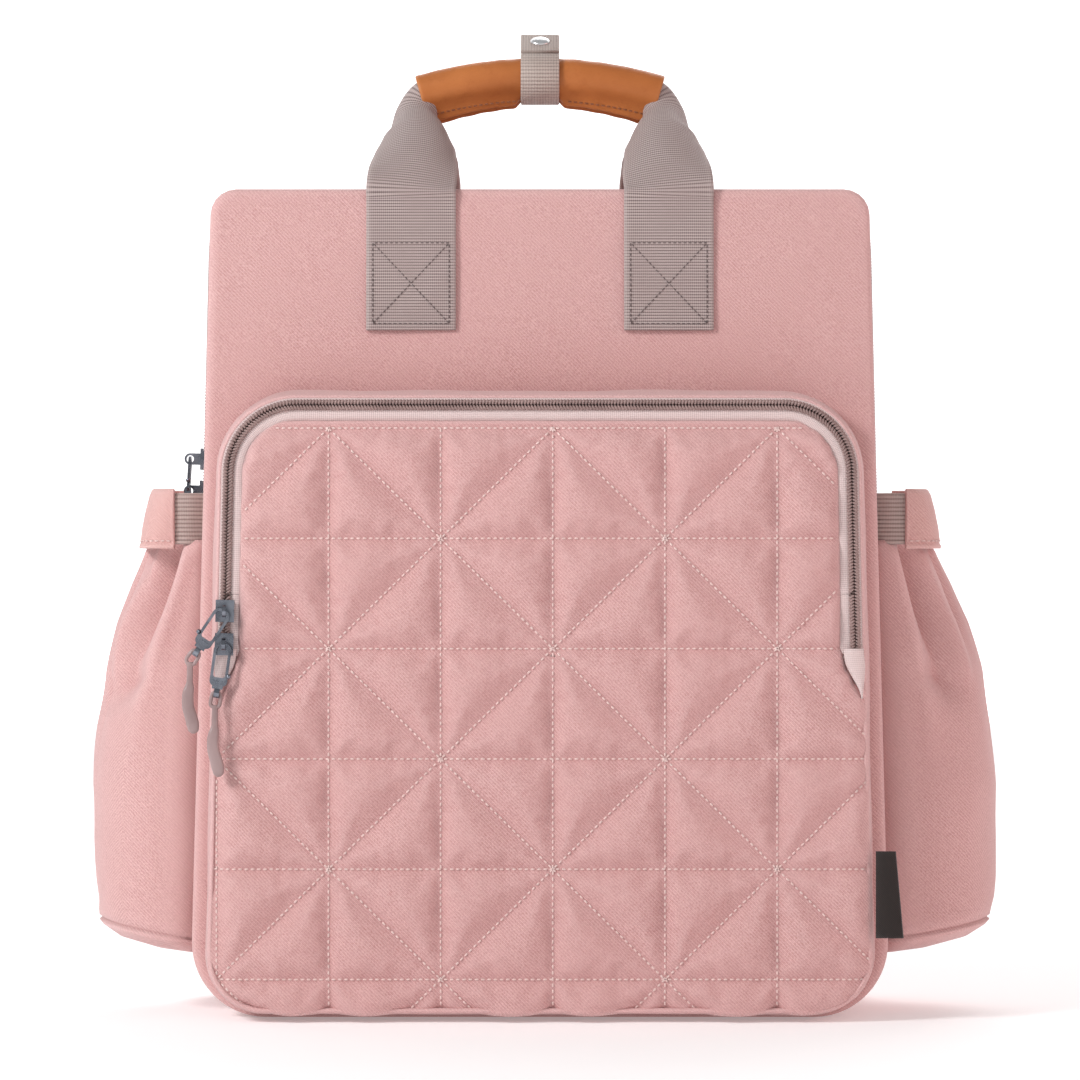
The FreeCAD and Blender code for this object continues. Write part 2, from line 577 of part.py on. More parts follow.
def make_back():
    pad = prism([(-PAD_HALF, PAD_BOTTOM), (PAD_HALF, PAD_BOTTOM), (PAD_HALF, PAD_TOP), (-PAD_HALF, PAD_TOP)],
                [26, 26, 20, 20], front_view, 0, 150).common(layer(back_y, 0, PAD_T))
    write("back_pad", pad)
    outside = STRAP_Y + STRAP_T
    yoke = prism([(back_y(YOKE_BOTTOM), YOKE_BOTTOM), (outside, YOKE_BOTTOM), (outside, YOKE_BOTTOM + 4),
                  (back_y(YOKE_TOP) + 5, YOKE_TOP), (back_y(YOKE_TOP), YOKE_TOP)],
                 [0, 0, 3, 4, 0], side_view, -YOKE_HALF, YOKE_HALF)
    write("strap_yoke", yoke.cut(layer(back_y, -50, 0)))
    web_y, web_top = STRAP_Y + 4.2, STRAP_END_Z - BUCKLE_H - 1.5
    webbing = prism([(ANCHOR_X0 + 2, ANCHOR_Z), (ANCHOR_X1 - 2, ANCHOR_Z),
                     (BUCKLE_X1 - 3.5, web_top), (BUCKLE_X0 + 3.5, web_top)],
                    [0] * 4, front_view, web_y, web_y + WEB_T)
    web_back = web_y + WEB_T + 1
    anchor = prism([(back_y(26), 26), (web_back, ANCHOR_Z - 10), (web_back, ANCHOR_Z - 1),
                    (web_y - 1, ANCHOR_Z - 1), (back_y(54), 54)],
                   [0] * 5, side_view, ANCHOR_X0, ANCHOR_X1)
    anchor = anchor.cut(body_block(0))
    for name, shape in (("shoulder_strap_", shoulder_strap()), ("strap_buckle_", ladder_buckle()),
                        ("strap_webbing_", webbing)):
        write(name + "left", shape)
        write(name + "right", mirrored(shape))
    write("strap_anchors", Part.Compound([anchor, mirrored(anchor)]))


def main():
    make_body()
    make_mouth()
    make_front_pocket()
    make_pulls()
    make_side_zips()
    make_handles()
    make_snap_strap()
    make_side_pockets()
    make_back()


main()
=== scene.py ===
"""The looks of a diaper backpack: woven fabric shells, a quilted pocket, webbing, zips, leather and metal.

Shapes are worked out in millimetres in the part's own frame and made into meshes in metres. The front faces
-Y, +Z is up, and pieces named left are at +X.
"""
import math

import bmesh
import bpy
import numpy as np
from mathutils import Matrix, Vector
from mathutils.bvhtree import BVHTree


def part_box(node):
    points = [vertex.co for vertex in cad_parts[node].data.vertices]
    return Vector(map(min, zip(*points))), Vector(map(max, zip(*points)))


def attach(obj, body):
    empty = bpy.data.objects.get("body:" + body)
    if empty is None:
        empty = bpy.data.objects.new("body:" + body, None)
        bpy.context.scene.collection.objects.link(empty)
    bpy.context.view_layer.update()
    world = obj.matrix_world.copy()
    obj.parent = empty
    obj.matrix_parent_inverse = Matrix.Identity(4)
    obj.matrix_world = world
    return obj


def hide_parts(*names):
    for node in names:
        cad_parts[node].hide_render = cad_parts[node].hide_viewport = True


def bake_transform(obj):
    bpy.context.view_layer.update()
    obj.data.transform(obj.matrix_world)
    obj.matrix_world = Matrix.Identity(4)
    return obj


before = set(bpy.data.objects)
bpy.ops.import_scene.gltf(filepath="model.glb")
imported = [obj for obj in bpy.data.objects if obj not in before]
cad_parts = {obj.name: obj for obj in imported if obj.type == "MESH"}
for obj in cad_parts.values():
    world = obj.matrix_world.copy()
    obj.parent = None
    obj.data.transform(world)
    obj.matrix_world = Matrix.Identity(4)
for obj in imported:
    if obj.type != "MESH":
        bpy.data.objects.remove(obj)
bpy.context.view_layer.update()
MM = 0.001


def mm_box(*nodes):
    """The lowest and highest corners of some CAD nodes, in millimetres."""
    corners = [[np.array(corner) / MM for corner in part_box(node)] for node in nodes]
    return np.min([low for low, high in corners], axis=0), np.max([high for low, high in corners], axis=0)


# ---- sizes, in millimetres ----------------------------------------------------------------------
BODY_LOW, BODY_HIGH = mm_box("front_panel", "back_panel", "left_gusset", "right_gusset")
HEIGHT = BODY_HIGH[2]
HALF_TOP, HALF_BASE = 151.0, 160.0          # half widths at the top and, before its round corners, the base
TOP_RADIUS, BASE_RADIUS = 12.0, 34.0
FRONT_BASE, FRONT_TOP = -62.0, -52.0
BACK_BASE, BACK_TOP = 72.0, 66.0

MOUTH_MID = 7.0
MOUTH_HALF = 139.0

POCKET_LOW, POCKET_HIGH = mm_box("pocket_band")
POCKET_HALF_TOP, POCKET_HALF_BASE = 147.0, 153.0
POCKET_TOP, POCKET_FLOOR = POCKET_HIGH[2], POCKET_LOW[2]
POCKET_TOP_RADIUS, POCKET_BASE_RADIUS = 38.0, 28.0
POCKET_Y = POCKET_LOW[1]
FOLD_Z = 194.0
COIL_INSET = 7.0
ZIP_END_Z = 166.0

QUILT_LEFT, QUILT_TOP = -146.0, 268.5       # the first stitched column and row
CELL_W, CELL_H = 50.6, 49.75
QUILT_Y = POCKET_Y - 3.4                    # depth of the stitched channels
PUFF = 5.4

WEB_W, WEB_T = 41.0, 1.8
LEG_X = 59.0
GRIP_R, GRIP_HALF, GRIP_RISE, GRIP_END_Z, GRIP_OFFSET = 9.0, 56.0, 8.0, 426.0, 9.6

CLASP_L = 22.0


# ---- materials ----------------------------------------------------------------------------------
def srgb(r, g, b):
    """A linear colour from 0-255 sRGB values."""
    values = [c / 255 for c in (r, g, b)]
    linear = [c / 12.92 if c <= 0.04045 else ((c + 0.055) / 1.055) ** 2.4 for c in values]
    return (*linear, 1.0)


class Look:
    """A material being built: a Principled shader and the nodes that feed it."""

    def __init__(self, name, roughness=0.8, metallic=0.0, sheen=0.0, coat=0.0, specular=0.5):
        self.material = bpy.data.materials.new(name)
        self.material.use_nodes = True
        self.tree = self.material.node_tree
        self.shader = self.tree.nodes["Principled BSDF"]
        for socket, value in (("Roughness", roughness), ("Metallic", metallic), ("Sheen Weight", sheen),
                              ("Coat Weight", coat), ("Specular IOR Level", specular)):
            self.shader.inputs[socket].default_value = value

    def put(self, socket, value):
        """Sets a socket to a value, or links an output to it."""
        if isinstance(value, bpy.types.NodeSocket):
            self.tree.links.new(value, socket)
        else:
            socket.default_value = value

    def node(self, kind, *inputs, **settings):
        made = self.tree.nodes.new("ShaderNode" + kind)
        for key, value in settings.items():
            setattr(made, key, value)
        for socket, value in zip(made.inputs, inputs):
            if value is not None:
                self.put(socket, value)
        return made.outputs[0]

    def math(self, operation, *values):
        return self.node("Math", *values, operation=operation)

    def coordinate(self, kind):
        """The three parts of Object or UV coordinates."""
        source = self.tree.nodes.new("ShaderNodeTexCoord").outputs[kind]
        split = self.tree.nodes.new("ShaderNodeSeparateXYZ")
        self.tree.links.new(source, split.inputs[0])
        return source, list(split.outputs)

    def cloth_plane(self):
        """Object coordinates, and the two of them that lie along the surface so no thread is stretched."""
        source, (x, y, z) = self.coordinate("Object")
        nx, ny, nz = (self.math("ABSOLUTE", part) for part in self.coordinate("Normal")[1])
        faces_side = self.math("GREATER_THAN", nx, self.math("MAXIMUM", ny, nz))
        faces_up = self.math("GREATER_THAN", nz, self.math("MAXIMUM", nx, ny))
        u = self.math("MULTIPLY_ADD", faces_side, self.math("SUBTRACT", y, x), x)
        v = self.math("MULTIPLY_ADD", faces_up, self.math("SUBTRACT", y, z), z)
        return source, u, v

    def noise(self, source, scale, detail=2.0, roughness=0.5):
        made = self.tree.nodes.new("ShaderNodeTexNoise")
        self.tree.links.new(source, made.inputs["Vector"])
        for key, value in (("Scale", scale), ("Detail", detail), ("Roughness", roughness)):
            made.inputs[key].default_value = value
        return made.outputs["Fac"]

    def mix(self, factor, low, high):
        made = self.tree.nodes.new("ShaderNodeMix")
        made.data_type = "RGBA"
        for index, value in ((0, factor), (6, low), (7, high)):
            self.put(made.inputs[index], value)
        return made.outputs[2]

    def relief_tone(self, colour, faded_and_highlit, painted_shade_colour):
        """The colour lighter where the surface stands out, as edge wear and a painted highlight on ridges,
        and darker where it folds in, as painted shade.
        """
        pointed = self.tree.nodes.new("ShaderNodeNewGeometry").outputs["Pointiness"]
        # Edge wear, with a painted highlight where ridges and puffs stand out.
        edge = self.spread(pointed, 0.505, 0.56, 0.0, 0.4)
        # Painted shade: darker where the surface folds in.
        painted_crease_shade = self.spread(pointed, 0.495, 0.44, 0.0, 0.4)
        return self.mix(painted_crease_shade, self.mix(edge, colour, faded_and_highlit), painted_shade_colour)

    def spread(self, value, low, high, new_low=0.0, new_high=1.0):
        return self.node("MapRange", value, low, high, new_low, new_high)

    def colour(self, value):
        self.put(self.shader.inputs["Base Color"], value)

    def rough(self, value):
        self.put(self.shader.inputs["Roughness"], value)

    def bump(self, height, distance, strength=1.0):
        made = self.tree.nodes.new("ShaderNodeBump")
        made.inputs["Strength"].default_value = strength
        made.inputs["Distance"].default_value = distance
        self.tree.links.new(height, made.inputs["Height"])
        self.tree.links.new(made.outputs[0], self.shader.inputs["Normal"])


def thread(look, coordinate, pitch):
    """A sine wave from -1 to 1 along a coordinate in metres, with its pitch in millimetres."""
    return look.math("SINE", look.math("MULTIPLY", coordinate, 2 * math.pi / (pitch * MM)))


def woven(name, base, dark, light, pitch=0.85, sheen=0.3, bump=0.1, extra_tone=True):
    """A plain twill: fine crossing threads, brighter where they lie on top, and uneven dye."""
    look = Look(name, roughness=0.82, sheen=sheen, specular=0.25)
    source, u, v = look.cloth_plane()
    cross = look.math("MULTIPLY", thread(look, u, pitch), thread(look, v, pitch))
    diagonal = thread(look, look.math("ADD", u, v), 2 * pitch)
    height = look.math("MULTIPLY_ADD", cross, 0.6, look.math("MULTIPLY", diagonal, 0.4))
    fibre = look.noise(source, 1400.0, 1.0)
    lit = look.math("ADD", look.spread(height, -1.0, 1.0), look.spread(fibre, 0.3, 0.7, -0.25, 0.25))
    dye = look.noise(source, 28.0, 3.0)
    cloth = look.mix(look.spread(lit, 0.0, 1.0), dark, light)
    shade = look.mix(look.spread(dye, 0.35, 0.65, 0.0, 0.35), cloth, base)
    # Where the flag is on: the light colour at edges and ridges is edge wear and a painted highlight, and the
    # dark colour in folds is painted shade.
    look.colour(look.relief_tone(shade, light, dark) if extra_tone else shade)
    look.rough(look.spread(fibre, 0.3, 0.7, 0.74, 0.9))
    look.bump(height, bump * MM)
    return look.material


def ribbed(name, dark, base, light, rib=1.35, fine=0.9, bump=0.35, along=1):
    """Webbing or elastic, in UV metres: strong ribs across its length and finer threads between them."""
    look = Look(name, roughness=0.7, sheen=0.15, specular=0.3)
    parts = look.coordinate("UV")[1]
    length, across = parts[along], parts[1 - along]
    ribs = look.math("ABSOLUTE", thread(look, length, 2 * rib))
    threads = look.math("ABSOLUTE", thread(look, across, 2 * fine))
    height = look.math("MULTIPLY_ADD", threads, 0.35, look.math("MULTIPLY", ribs, 0.65))
    extra_tone = look.noise(look.coordinate("Object")[0], 55.0, 4.0)
    colour = look.mix(look.spread(height, 0.25, 0.85), dark, light)
    shade = look.mix(look.spread(extra_tone, 0.35, 0.65, 0.0, 0.4), colour, base)
    # The light colour at edges is edge wear and a painted highlight, and the dark colour in folds is painted
    # shade.
    look.colour(look.relief_tone(shade, light, dark))
    look.bump(height, bump * MM)
    return look.material


def moulded(name, low, high, roughness=0.5, coat=0.0, grain=900.0, bump=0.03):
    """Moulded plastic or rubber with a fine satin grain and a slight mottle."""
    look = Look(name, roughness=roughness, coat=coat)
    source = look.coordinate("Object")[0]
    mottle = look.noise(source, 60.0, 3.0)
    texture = look.noise(source, grain, 2.0)
    # The high colour at edges is edge wear and a painted highlight, and the low colour in folds is painted
    # shade.
    look.colour(look.relief_tone(look.mix(look.spread(mottle, 0.35, 0.65), low, high), high, low))
    look.rough(look.spread(texture, 0.3, 0.7, roughness - 0.08, roughness + 0.1))
    look.bump(texture, bump * MM)
    return look.material


def metallic(name, low, high, roughness=0.25):
    """Plated metal with fine wear scratches and duller patches."""
    look = Look(name, roughness=roughness, metallic=1.0)
    source = look.coordinate("Object")[0]
    patches = look.noise(source, 120.0, 4.0)
    scratches = look.noise(source, 2600.0, 1.0)
    # The high colour at edges is edge wear and a painted highlight, and the low colour in folds is painted
    # shade.
    look.colour(look.relief_tone(look.mix(look.spread(patches, 0.3, 0.7), low, high), high, low))
    look.rough(look.spread(patches, 0.3, 0.7, roughness - 0.07, roughness + 0.14))
    look.bump(scratches, 0.01 * MM)
    return look.material


def leather_look():
    look = Look("leather", roughness=0.5, specular=0.32)
    source = look.coordinate("Object")[0]
    cells = look.tree.nodes.new("ShaderNodeTexVoronoi")
    look.tree.links.new(source, cells.inputs["Vector"])
    cells.inputs["Scale"].default_value = 1500.0
    creases = look.noise(source, 160.0, 5.0, 0.65)
    tone = look.noise(source, 22.0, 3.0)
    tan = look.mix(look.spread(tone, 0.35, 0.65), srgb(166, 94, 44), srgb(192, 116, 60))
    relief_tone = look.spread(creases, 0.55, 0.75, 0.0, 0.35)
    creased = look.mix(relief_tone, tan, srgb(150, 80, 34))
    # srgb(214, 142, 88) at edges is edge wear with a painted highlight, and srgb(132, 70, 32) in folds is
    # painted shade.
    look.colour(look.relief_tone(creased, srgb(214, 142, 88), srgb(132, 70, 32)))
    look.rough(look.spread(creases, 0.3, 0.7, 0.44, 0.62))
    height = look.math("MULTIPLY_ADD", cells.outputs["Distance"], 0.5, creases)
    look.bump(height, 0.12 * MM)
    return look.material


def thread_look(name, low, high):
    """Sewing thread: two tones twisted together."""
    look = Look(name, roughness=0.6, sheen=0.2)
    x, y, z = look.coordinate("Object")[1]
    twist = thread(look, look.math("ADD", look.math("ADD", x, y), z), 0.5)
    look.colour(look.mix(look.spread(twist, -1.0, 1.0), low, high))
    look.bump(twist, 0.05 * MM)
    return look.material


PINK_BASE, PINK_DARK, PINK_LIGHT = srgb(213, 167, 165), srgb(187, 132, 130), srgb(233, 194, 192)
LOOKS = {
    "body": woven("body_fabric", PINK_BASE, PINK_DARK, PINK_LIGHT),
    "quilt": woven("quilted_fabric", srgb(210, 163, 161), srgb(184, 129, 127), srgb(230, 190, 188)),
    "casing": woven("casing_fabric", srgb(215, 168, 163), srgb(192, 138, 133), srgb(233, 194, 189)),
    "mesh": woven("back_padding", srgb(150, 128, 126), srgb(118, 98, 97), srgb(178, 158, 155), pitch=2.2,
                  bump=0.4, extra_tone=False),
    "lining": woven("lining_fabric", srgb(196, 188, 184), srgb(176, 167, 163), srgb(212, 205, 200), pitch=0.8,
                    sheen=0.1),
    "webbing": ribbed("webbing", srgb(96, 81, 79), srgb(156, 138, 135), srgb(190, 173, 170), bump=0.25),
    "snap": ribbed("snap_webbing", srgb(112, 96, 90), srgb(150, 132, 124), srgb(196, 180, 172),
                   rib=1.5, fine=1.3, bump=0.4),
    "elastic": ribbed("elastic", srgb(124, 104, 98), srgb(176, 156, 150), srgb(198, 180, 174),
                      rib=1.9, fine=0.7, along=0),
    "tape": ribbed("zip_tape", srgb(182, 158, 156), srgb(216, 194, 191), srgb(230, 210, 208),
                   rib=0.9, bump=0.15),
    "coil": moulded("zip_coil", srgb(126, 101, 98), srgb(158, 132, 128), roughness=0.45),
    "stitch": thread_look("stitch_pink", srgb(240, 204, 199), srgb(252, 230, 225)),
    "stitch_grey": thread_look("stitch_grey", srgb(84, 70, 69), srgb(118, 102, 100)),
    "stitch_tan": thread_look("stitch_tan", srgb(118, 64, 30), srgb(170, 100, 50)),
    "leather": leather_look(),
    "metal": metallic("gunmetal", srgb(84, 88, 98), srgb(150, 154, 164), roughness=0.22),
    "silver": metallic("silver_stud", srgb(225, 226, 228), srgb(246, 246, 247), roughness=0.3),
    "rubber": moulded("pull_rubber", srgb(138, 114, 113), srgb(162, 138, 137), roughness=0.4, coat=0.15),
    "plastic": moulded("buckle_plastic", srgb(120, 104, 103), srgb(146, 128, 127), roughness=0.45),
    "label": woven("label_satin", srgb(34, 28, 27), srgb(24, 20, 19), srgb(48, 40, 38), pitch=0.5, bump=0.05),
    "board": moulded("base_board", srgb(92, 84, 82), srgb(112, 103, 100), roughness=0.6),
}


# ---- mesh tools ---------------------------------------------------------------------------------
def add_mesh(name, points, faces, look, uvs=None):
    """A smooth-shaded object from points in millimetres. uvs holds one (u, v) in millimetres per point."""
    mesh = bpy.data.meshes.new(name)
    mesh.from_pydata((np.asarray(points, float) * MM).tolist(), [], [list(map(int, f)) for f in faces])
    mesh.validate()
    mesh.polygons.foreach_set("use_smooth", [True] * len(mesh.polygons))
    if uvs is not None:
        layer = mesh.uv_layers.new(name="UVMap")
        corner = np.zeros(len(mesh.loops), np.int32)
        mesh.loops.foreach_get("vertex_index", corner)
        layer.data.foreach_set("uv", (np.asarray(uvs, float) * MM)[corner].ravel())
    made = bpy.data.objects.new(name, mesh)
    bpy.context.scene.collection.objects.link(made)
    mesh.materials.append(LOOKS[look])
    return made


def grid_faces(rows, cols, wrap_rows=False, wrap_cols=False, skip=None):
    """Quads of a grid of points, with the columns or rows closed where wanted."""
    faces = []
    for r in range(rows if wrap_rows else rows - 1):
        for c in range(cols if wrap_cols else cols - 1):
            if skip is not None and skip(r, c):
                continue
            after_r, after_c = (r + 1) % rows, (c + 1) % cols
            faces.append((r * cols + c, r * cols + after_c, after_r * cols + after_c, after_r * cols + c))
    return faces


def caps(rows, cols):
    """The two end faces of a lofted tube whose rings are the rows."""
    return [tuple(range(cols - 1, -1, -1)), tuple((rows - 1) * cols + c for c in range(cols))]


def loft(name, rings, look, uvs=None, closed=False, capped=True):
    """A closed tube through rings, an array of rings x points x 3."""
    rings = np.asarray(rings, float)
    rows, cols = rings.shape[:2]
    faces = grid_faces(rows, cols, wrap_rows=closed, wrap_cols=True)
    if capped and not closed:
        faces += caps(rows, cols)
    if uvs is not None:
        uvs = uvs.reshape(-1, 2)
    return outward(add_mesh(name, rings.reshape(-1, 3), faces, look, uvs))


def settle(piece, body, *nodes, fill=None):
    """The piece rides on a body and stands for CAD nodes. fill is not used."""
    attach(piece, body)
    if nodes:
        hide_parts(*nodes)


def xyz(x, y, z):
    """Points from their three coordinates, any of which may be one number for all of them."""
    return np.stack(np.broadcast_arrays(x, y, z), axis=-1).astype(float)


def run_length(path):
    """The distance of each point of a polyline from its start."""
    return np.concatenate([[0], np.cumsum(np.linalg.norm(np.diff(path, axis=0), axis=1))])


def evaluated_mesh(piece):
    return bpy.data.meshes.new_from_object(piece.evaluated_get(bpy.context.evaluated_depsgraph_get()))


def surface_of(piece):
    return BVHTree.FromObject(piece, bpy.context.evaluated_depsgraph_get())


def modified(piece, kind, **settings):
    """Adds a modifier and applies it at once."""
    modifier = piece.modifiers.new(kind.lower(), kind)
    for key, value in settings.items():
        setattr(modifier, key, value)
    bpy.context.view_layer.update()
    result = evaluated_mesh(piece)
    piece.modifiers.clear()
    old = piece.data
    piece.data = result
    bpy.data.meshes.remove(old)
    result.polygons.foreach_set("use_smooth", [True] * len(result.polygons))
    return piece


def thicken(piece, thickness, offset=-1.0):
    return modified(piece, "SOLIDIFY", thickness=thickness * MM, offset=offset)


def smoothed(piece):
    return modified(piece, "SUBSURF", levels=1, render_levels=1)


def unit(vectors):
    vectors = np.asarray(vectors, float)
    return vectors / np.maximum(np.linalg.norm(vectors, axis=-1, keepdims=True), 1e-9)


def ease(value, low, high):
    """0 below low, 1 above high and a smooth step between them."""
    t = np.clip((np.asarray(value, float) - low) / (high - low), 0, 1)
    return t * t * (3 - 2 * t)


def ripple(a, b, scale, phase=0.0):
    """Slow uneven waves from about -1 to 1 over a pair of coordinates."""
    p, q = np.asarray(a) / scale, np.asarray(b) / scale
    wave = np.sin(2.1 * p + 1.7 * q + phase) + np.sin(3.7 * p - 2.3 * q + 2.4 * phase + 1.0)
    return (wave + np.sin(-1.3 * p + 4.9 * q + 0.7 * phase + 2.0)) / 3


def capsules(name, starts, ends, radius, look, sides=6):
    """Short round-ended pieces, such as stitches or zip teeth, joined in one mesh."""
    starts, ends = np.asarray(starts, float), np.asarray(ends, float)
    radii = np.broadcast_to(np.asarray(radius, float), len(starts))
    along = unit(ends - starts)
    helper = np.where(np.abs(along[:, 1:2]) > 0.8, [[0.0, 0.0, 1.0]], [[0.0, 1.0, 0.0]])
    side = unit(np.cross(along, helper))
    other = np.cross(along, side)
    turns = np.arange(sides) * 2 * math.pi / sides
    rings = []
    for share, size in ((0.1, 0.75), (0.35, 1.0), (0.65, 1.0), (0.9, 0.75)):
        middle = starts + (ends - starts) * share
        for turn in turns:
            rings.append(middle + (side * math.cos(turn) + other * math.sin(turn)) * radii[:, None] * size)
    points = np.stack([starts] + rings + [ends], axis=1)
    count = points.shape[1]
    pattern = [(0, 1 + (s + 1) % sides, 1 + s) for s in range(sides)]
    pattern += [(count - 1, count - 1 - sides + s, count - 1 - sides + (s + 1) % sides) for s in range(sides)]
    quads = [(1 + r * sides + s, 1 + r * sides + (s + 1) % sides, 1 + (r + 1) * sides + (s + 1) % sides,
              1 + (r + 1) * sides + s) for r in range(3) for s in range(sides)]
    faces = [tuple(base + i for i in face) for base in range(0, count * len(starts), count)
             for face in pattern + quads]
    return add_mesh(name, points.reshape(-1, 3), faces, look)


def divided(points, pitch, closed=False):
    """Evenly spaced points along a polyline. Columns after the third are carried along."""
    points = np.asarray(points, float)
    if closed:
        points = np.vstack([points, points[:1]])
    distance = run_length(points)
    count = max(2, int(round(distance[-1] / pitch)) + (0 if closed else 1))
    wanted = np.linspace(0, distance[-1], count, endpoint=not closed)
    return np.stack([np.interp(wanted, distance, points[:, k]) for k in range(points.shape[1])], axis=1)


def dashes(line, pitch=2.8, share=0.68):
    """Starts and ends of stitches along a polyline."""
    points = divided(line, pitch)
    ends = points[:-1] + (points[1:] - points[:-1]) * share
    return points[:-1], ends


def seam(name, lines, radius, pitch=3.0):
    """A row of stitches along each of some polylines, in one piece."""
    starts, ends = zip(*(dashes(line, pitch) for line in lines))
    return capsules(name, np.vstack(starts), np.vstack(ends), radius, "stitch", sides=5)


def run_uvs(offsets, distance):
    """UVs of a lofted run: how far each of its lines lies across, and the distance along it."""
    lines = [np.column_stack([np.broadcast_to(offset, distance.shape), distance]) for offset in offsets]
    return np.stack(lines, axis=1)


def curve_through(points, count):
    """A Catmull-Rom curve through given points."""
    p = np.asarray(points, float)
    p = np.vstack([2 * p[0] - p[1], p, 2 * p[-1] - p[-2]])
    spans = len(p) - 3
    result = []
    for t in np.linspace(0, spans, count):
        i = min(int(t), spans - 1)
        f = t - i
        a, b, c, d = p[i:i + 4]
        result.append(0.5 * ((2 * b) + (c - a) * f + (2 * a - 5 * b + 4 * c - d) * f ** 2
                             + (3 * b - a - 3 * c + d) * f ** 3))
    return np.array(result)


def strip(name, path, across, normal, low, high, thick, look, lift=0.0, crown=0.0, closed=False):
    """A flat band along a path, from low to high along across, and from lift to lift + thick off it."""
    path, across, normal = (np.asarray(a, float) for a in (path, across, normal))
    edge = min(thick / 2, abs(high - low) / 4)
    section = [(low, 0.25 * thick), (low + edge * 0.5, 0.0), (high - edge * 0.5, 0.0), (high, 0.25 * thick),
               (high, 0.75 * thick), (high - edge * 0.5, thick), ((low + high) / 2, thick + crown),
               (low + edge * 0.5, thick), (low, 0.75 * thick)]
    rings = np.stack([path + across * a + normal * (lift + h) for a, h in section], axis=1)
    return loft(name, rings, look, run_uvs([a for a, h in section], run_length(path)), closed=closed)


def outward(piece):
    """Turns the faces of a closed mesh to face out."""
    made = bmesh.new()
    made.from_mesh(piece.data)
    bmesh.ops.recalc_face_normals(made, faces=made.faces)
    made.to_mesh(piece.data)
    made.free()
    return piece


def joined(name, pieces):
    """Several new meshes of one look made into one piece."""
    bpy.ops.object.select_all(action="DESELECT")
    for piece in pieces:
        piece.select_set(True)
    bpy.context.view_layer.objects.active = pieces[0]
    bpy.ops.object.join()
    pieces[0].name = name
    return pieces[0]


# ---- outlines -----------------------------------------------------------------------------------
def front_y(z):
    return FRONT_BASE + (FRONT_TOP - FRONT_BASE) * np.asarray(z) / HEIGHT


def back_y(z):
    return BACK_BASE + (BACK_TOP - BACK_BASE) * np.asarray(z) / HEIGHT


def rounded_outline(corners, radii, step):
    """Points and outward normals round a closed outline, anticlockwise, with an arc at each corner."""
    points, normals = [], []
    count = len(corners)
    corners = [np.array(c, float) for c in corners]
    arcs = []
    for i, corner in enumerate(corners):
        before, after = unit(corners[i - 1] - corner), unit(corners[(i + 1) % count] - corner)
        half = math.acos(np.clip(before @ after, -1, 1)) / 2
        centre = corner + unit(before + after) * radii[i] / math.sin(half)
        start = corner + before * radii[i] / math.tan(half)
        end = corner + after * radii[i] / math.tan(half)
        arcs.append((start, centre, end))
    for i, (start, centre, end) in enumerate(arcs):
        a0, a1 = (math.atan2(*(p - centre)[::-1]) for p in (start, end))
        a1 += 2 * math.pi if a1 < a0 else 0
        pieces = max(5, math.ceil(radii[i] * (a1 - a0) / step))
        for angle in np.linspace(a0, a1, pieces + 1):
            normals.append((math.cos(angle), math.sin(angle)))
            points.append(centre + np.array(normals[-1]) * radii[i])
        following = arcs[(i + 1) % count][0]
        run = following - end
        pieces = max(1, math.ceil(np.linalg.norm(run) / step))
        side = unit(run)
        for share in np.arange(1, pieces) / pieces:
            points.append(end + run * share)
            normals.append((side[1], -side[0]))
    return np.array(points), np.array(normals)


def body_outline(step):
    corners = [(-HALF_BASE, 0), (HALF_BASE, 0), (HALF_TOP, HEIGHT), (-HALF_TOP, HEIGHT)]
    return rounded_outline(corners, [BASE_RADIUS] * 2 + [TOP_RADIUS] * 2, step)


def pocket_outline(step, inset=0.0):
    low, high = POCKET_FLOOR + inset, POCKET_TOP - inset
    corners = [(-POCKET_HALF_BASE + inset, low), (POCKET_HALF_BASE - inset, low),
               (POCKET_HALF_TOP - inset, high), (-POCKET_HALF_TOP + inset, high)]
    radii = [POCKET_BASE_RADIUS - inset] * 2 + [POCKET_TOP_RADIUS - inset] * 2
    return rounded_outline(corners, radii, step)


def sag_at(x, z):
    """How far the front and back panels stand proud of their planes."""
    calm = ease(z, HEIGHT + 2, HEIGHT - 18) * ease(np.abs(x), HALF_TOP, HALF_TOP - 25)
    return calm * (0.5 + 0.9 * ripple(x, z, 62.0, 0.4))


def gusset_bulge(z):
    """How far the middle of each side stands proud, away from the base and the top."""
    return 1.1 * ease(z, 6, 50) * ease(z, HEIGHT - 4, HEIGHT - 30)


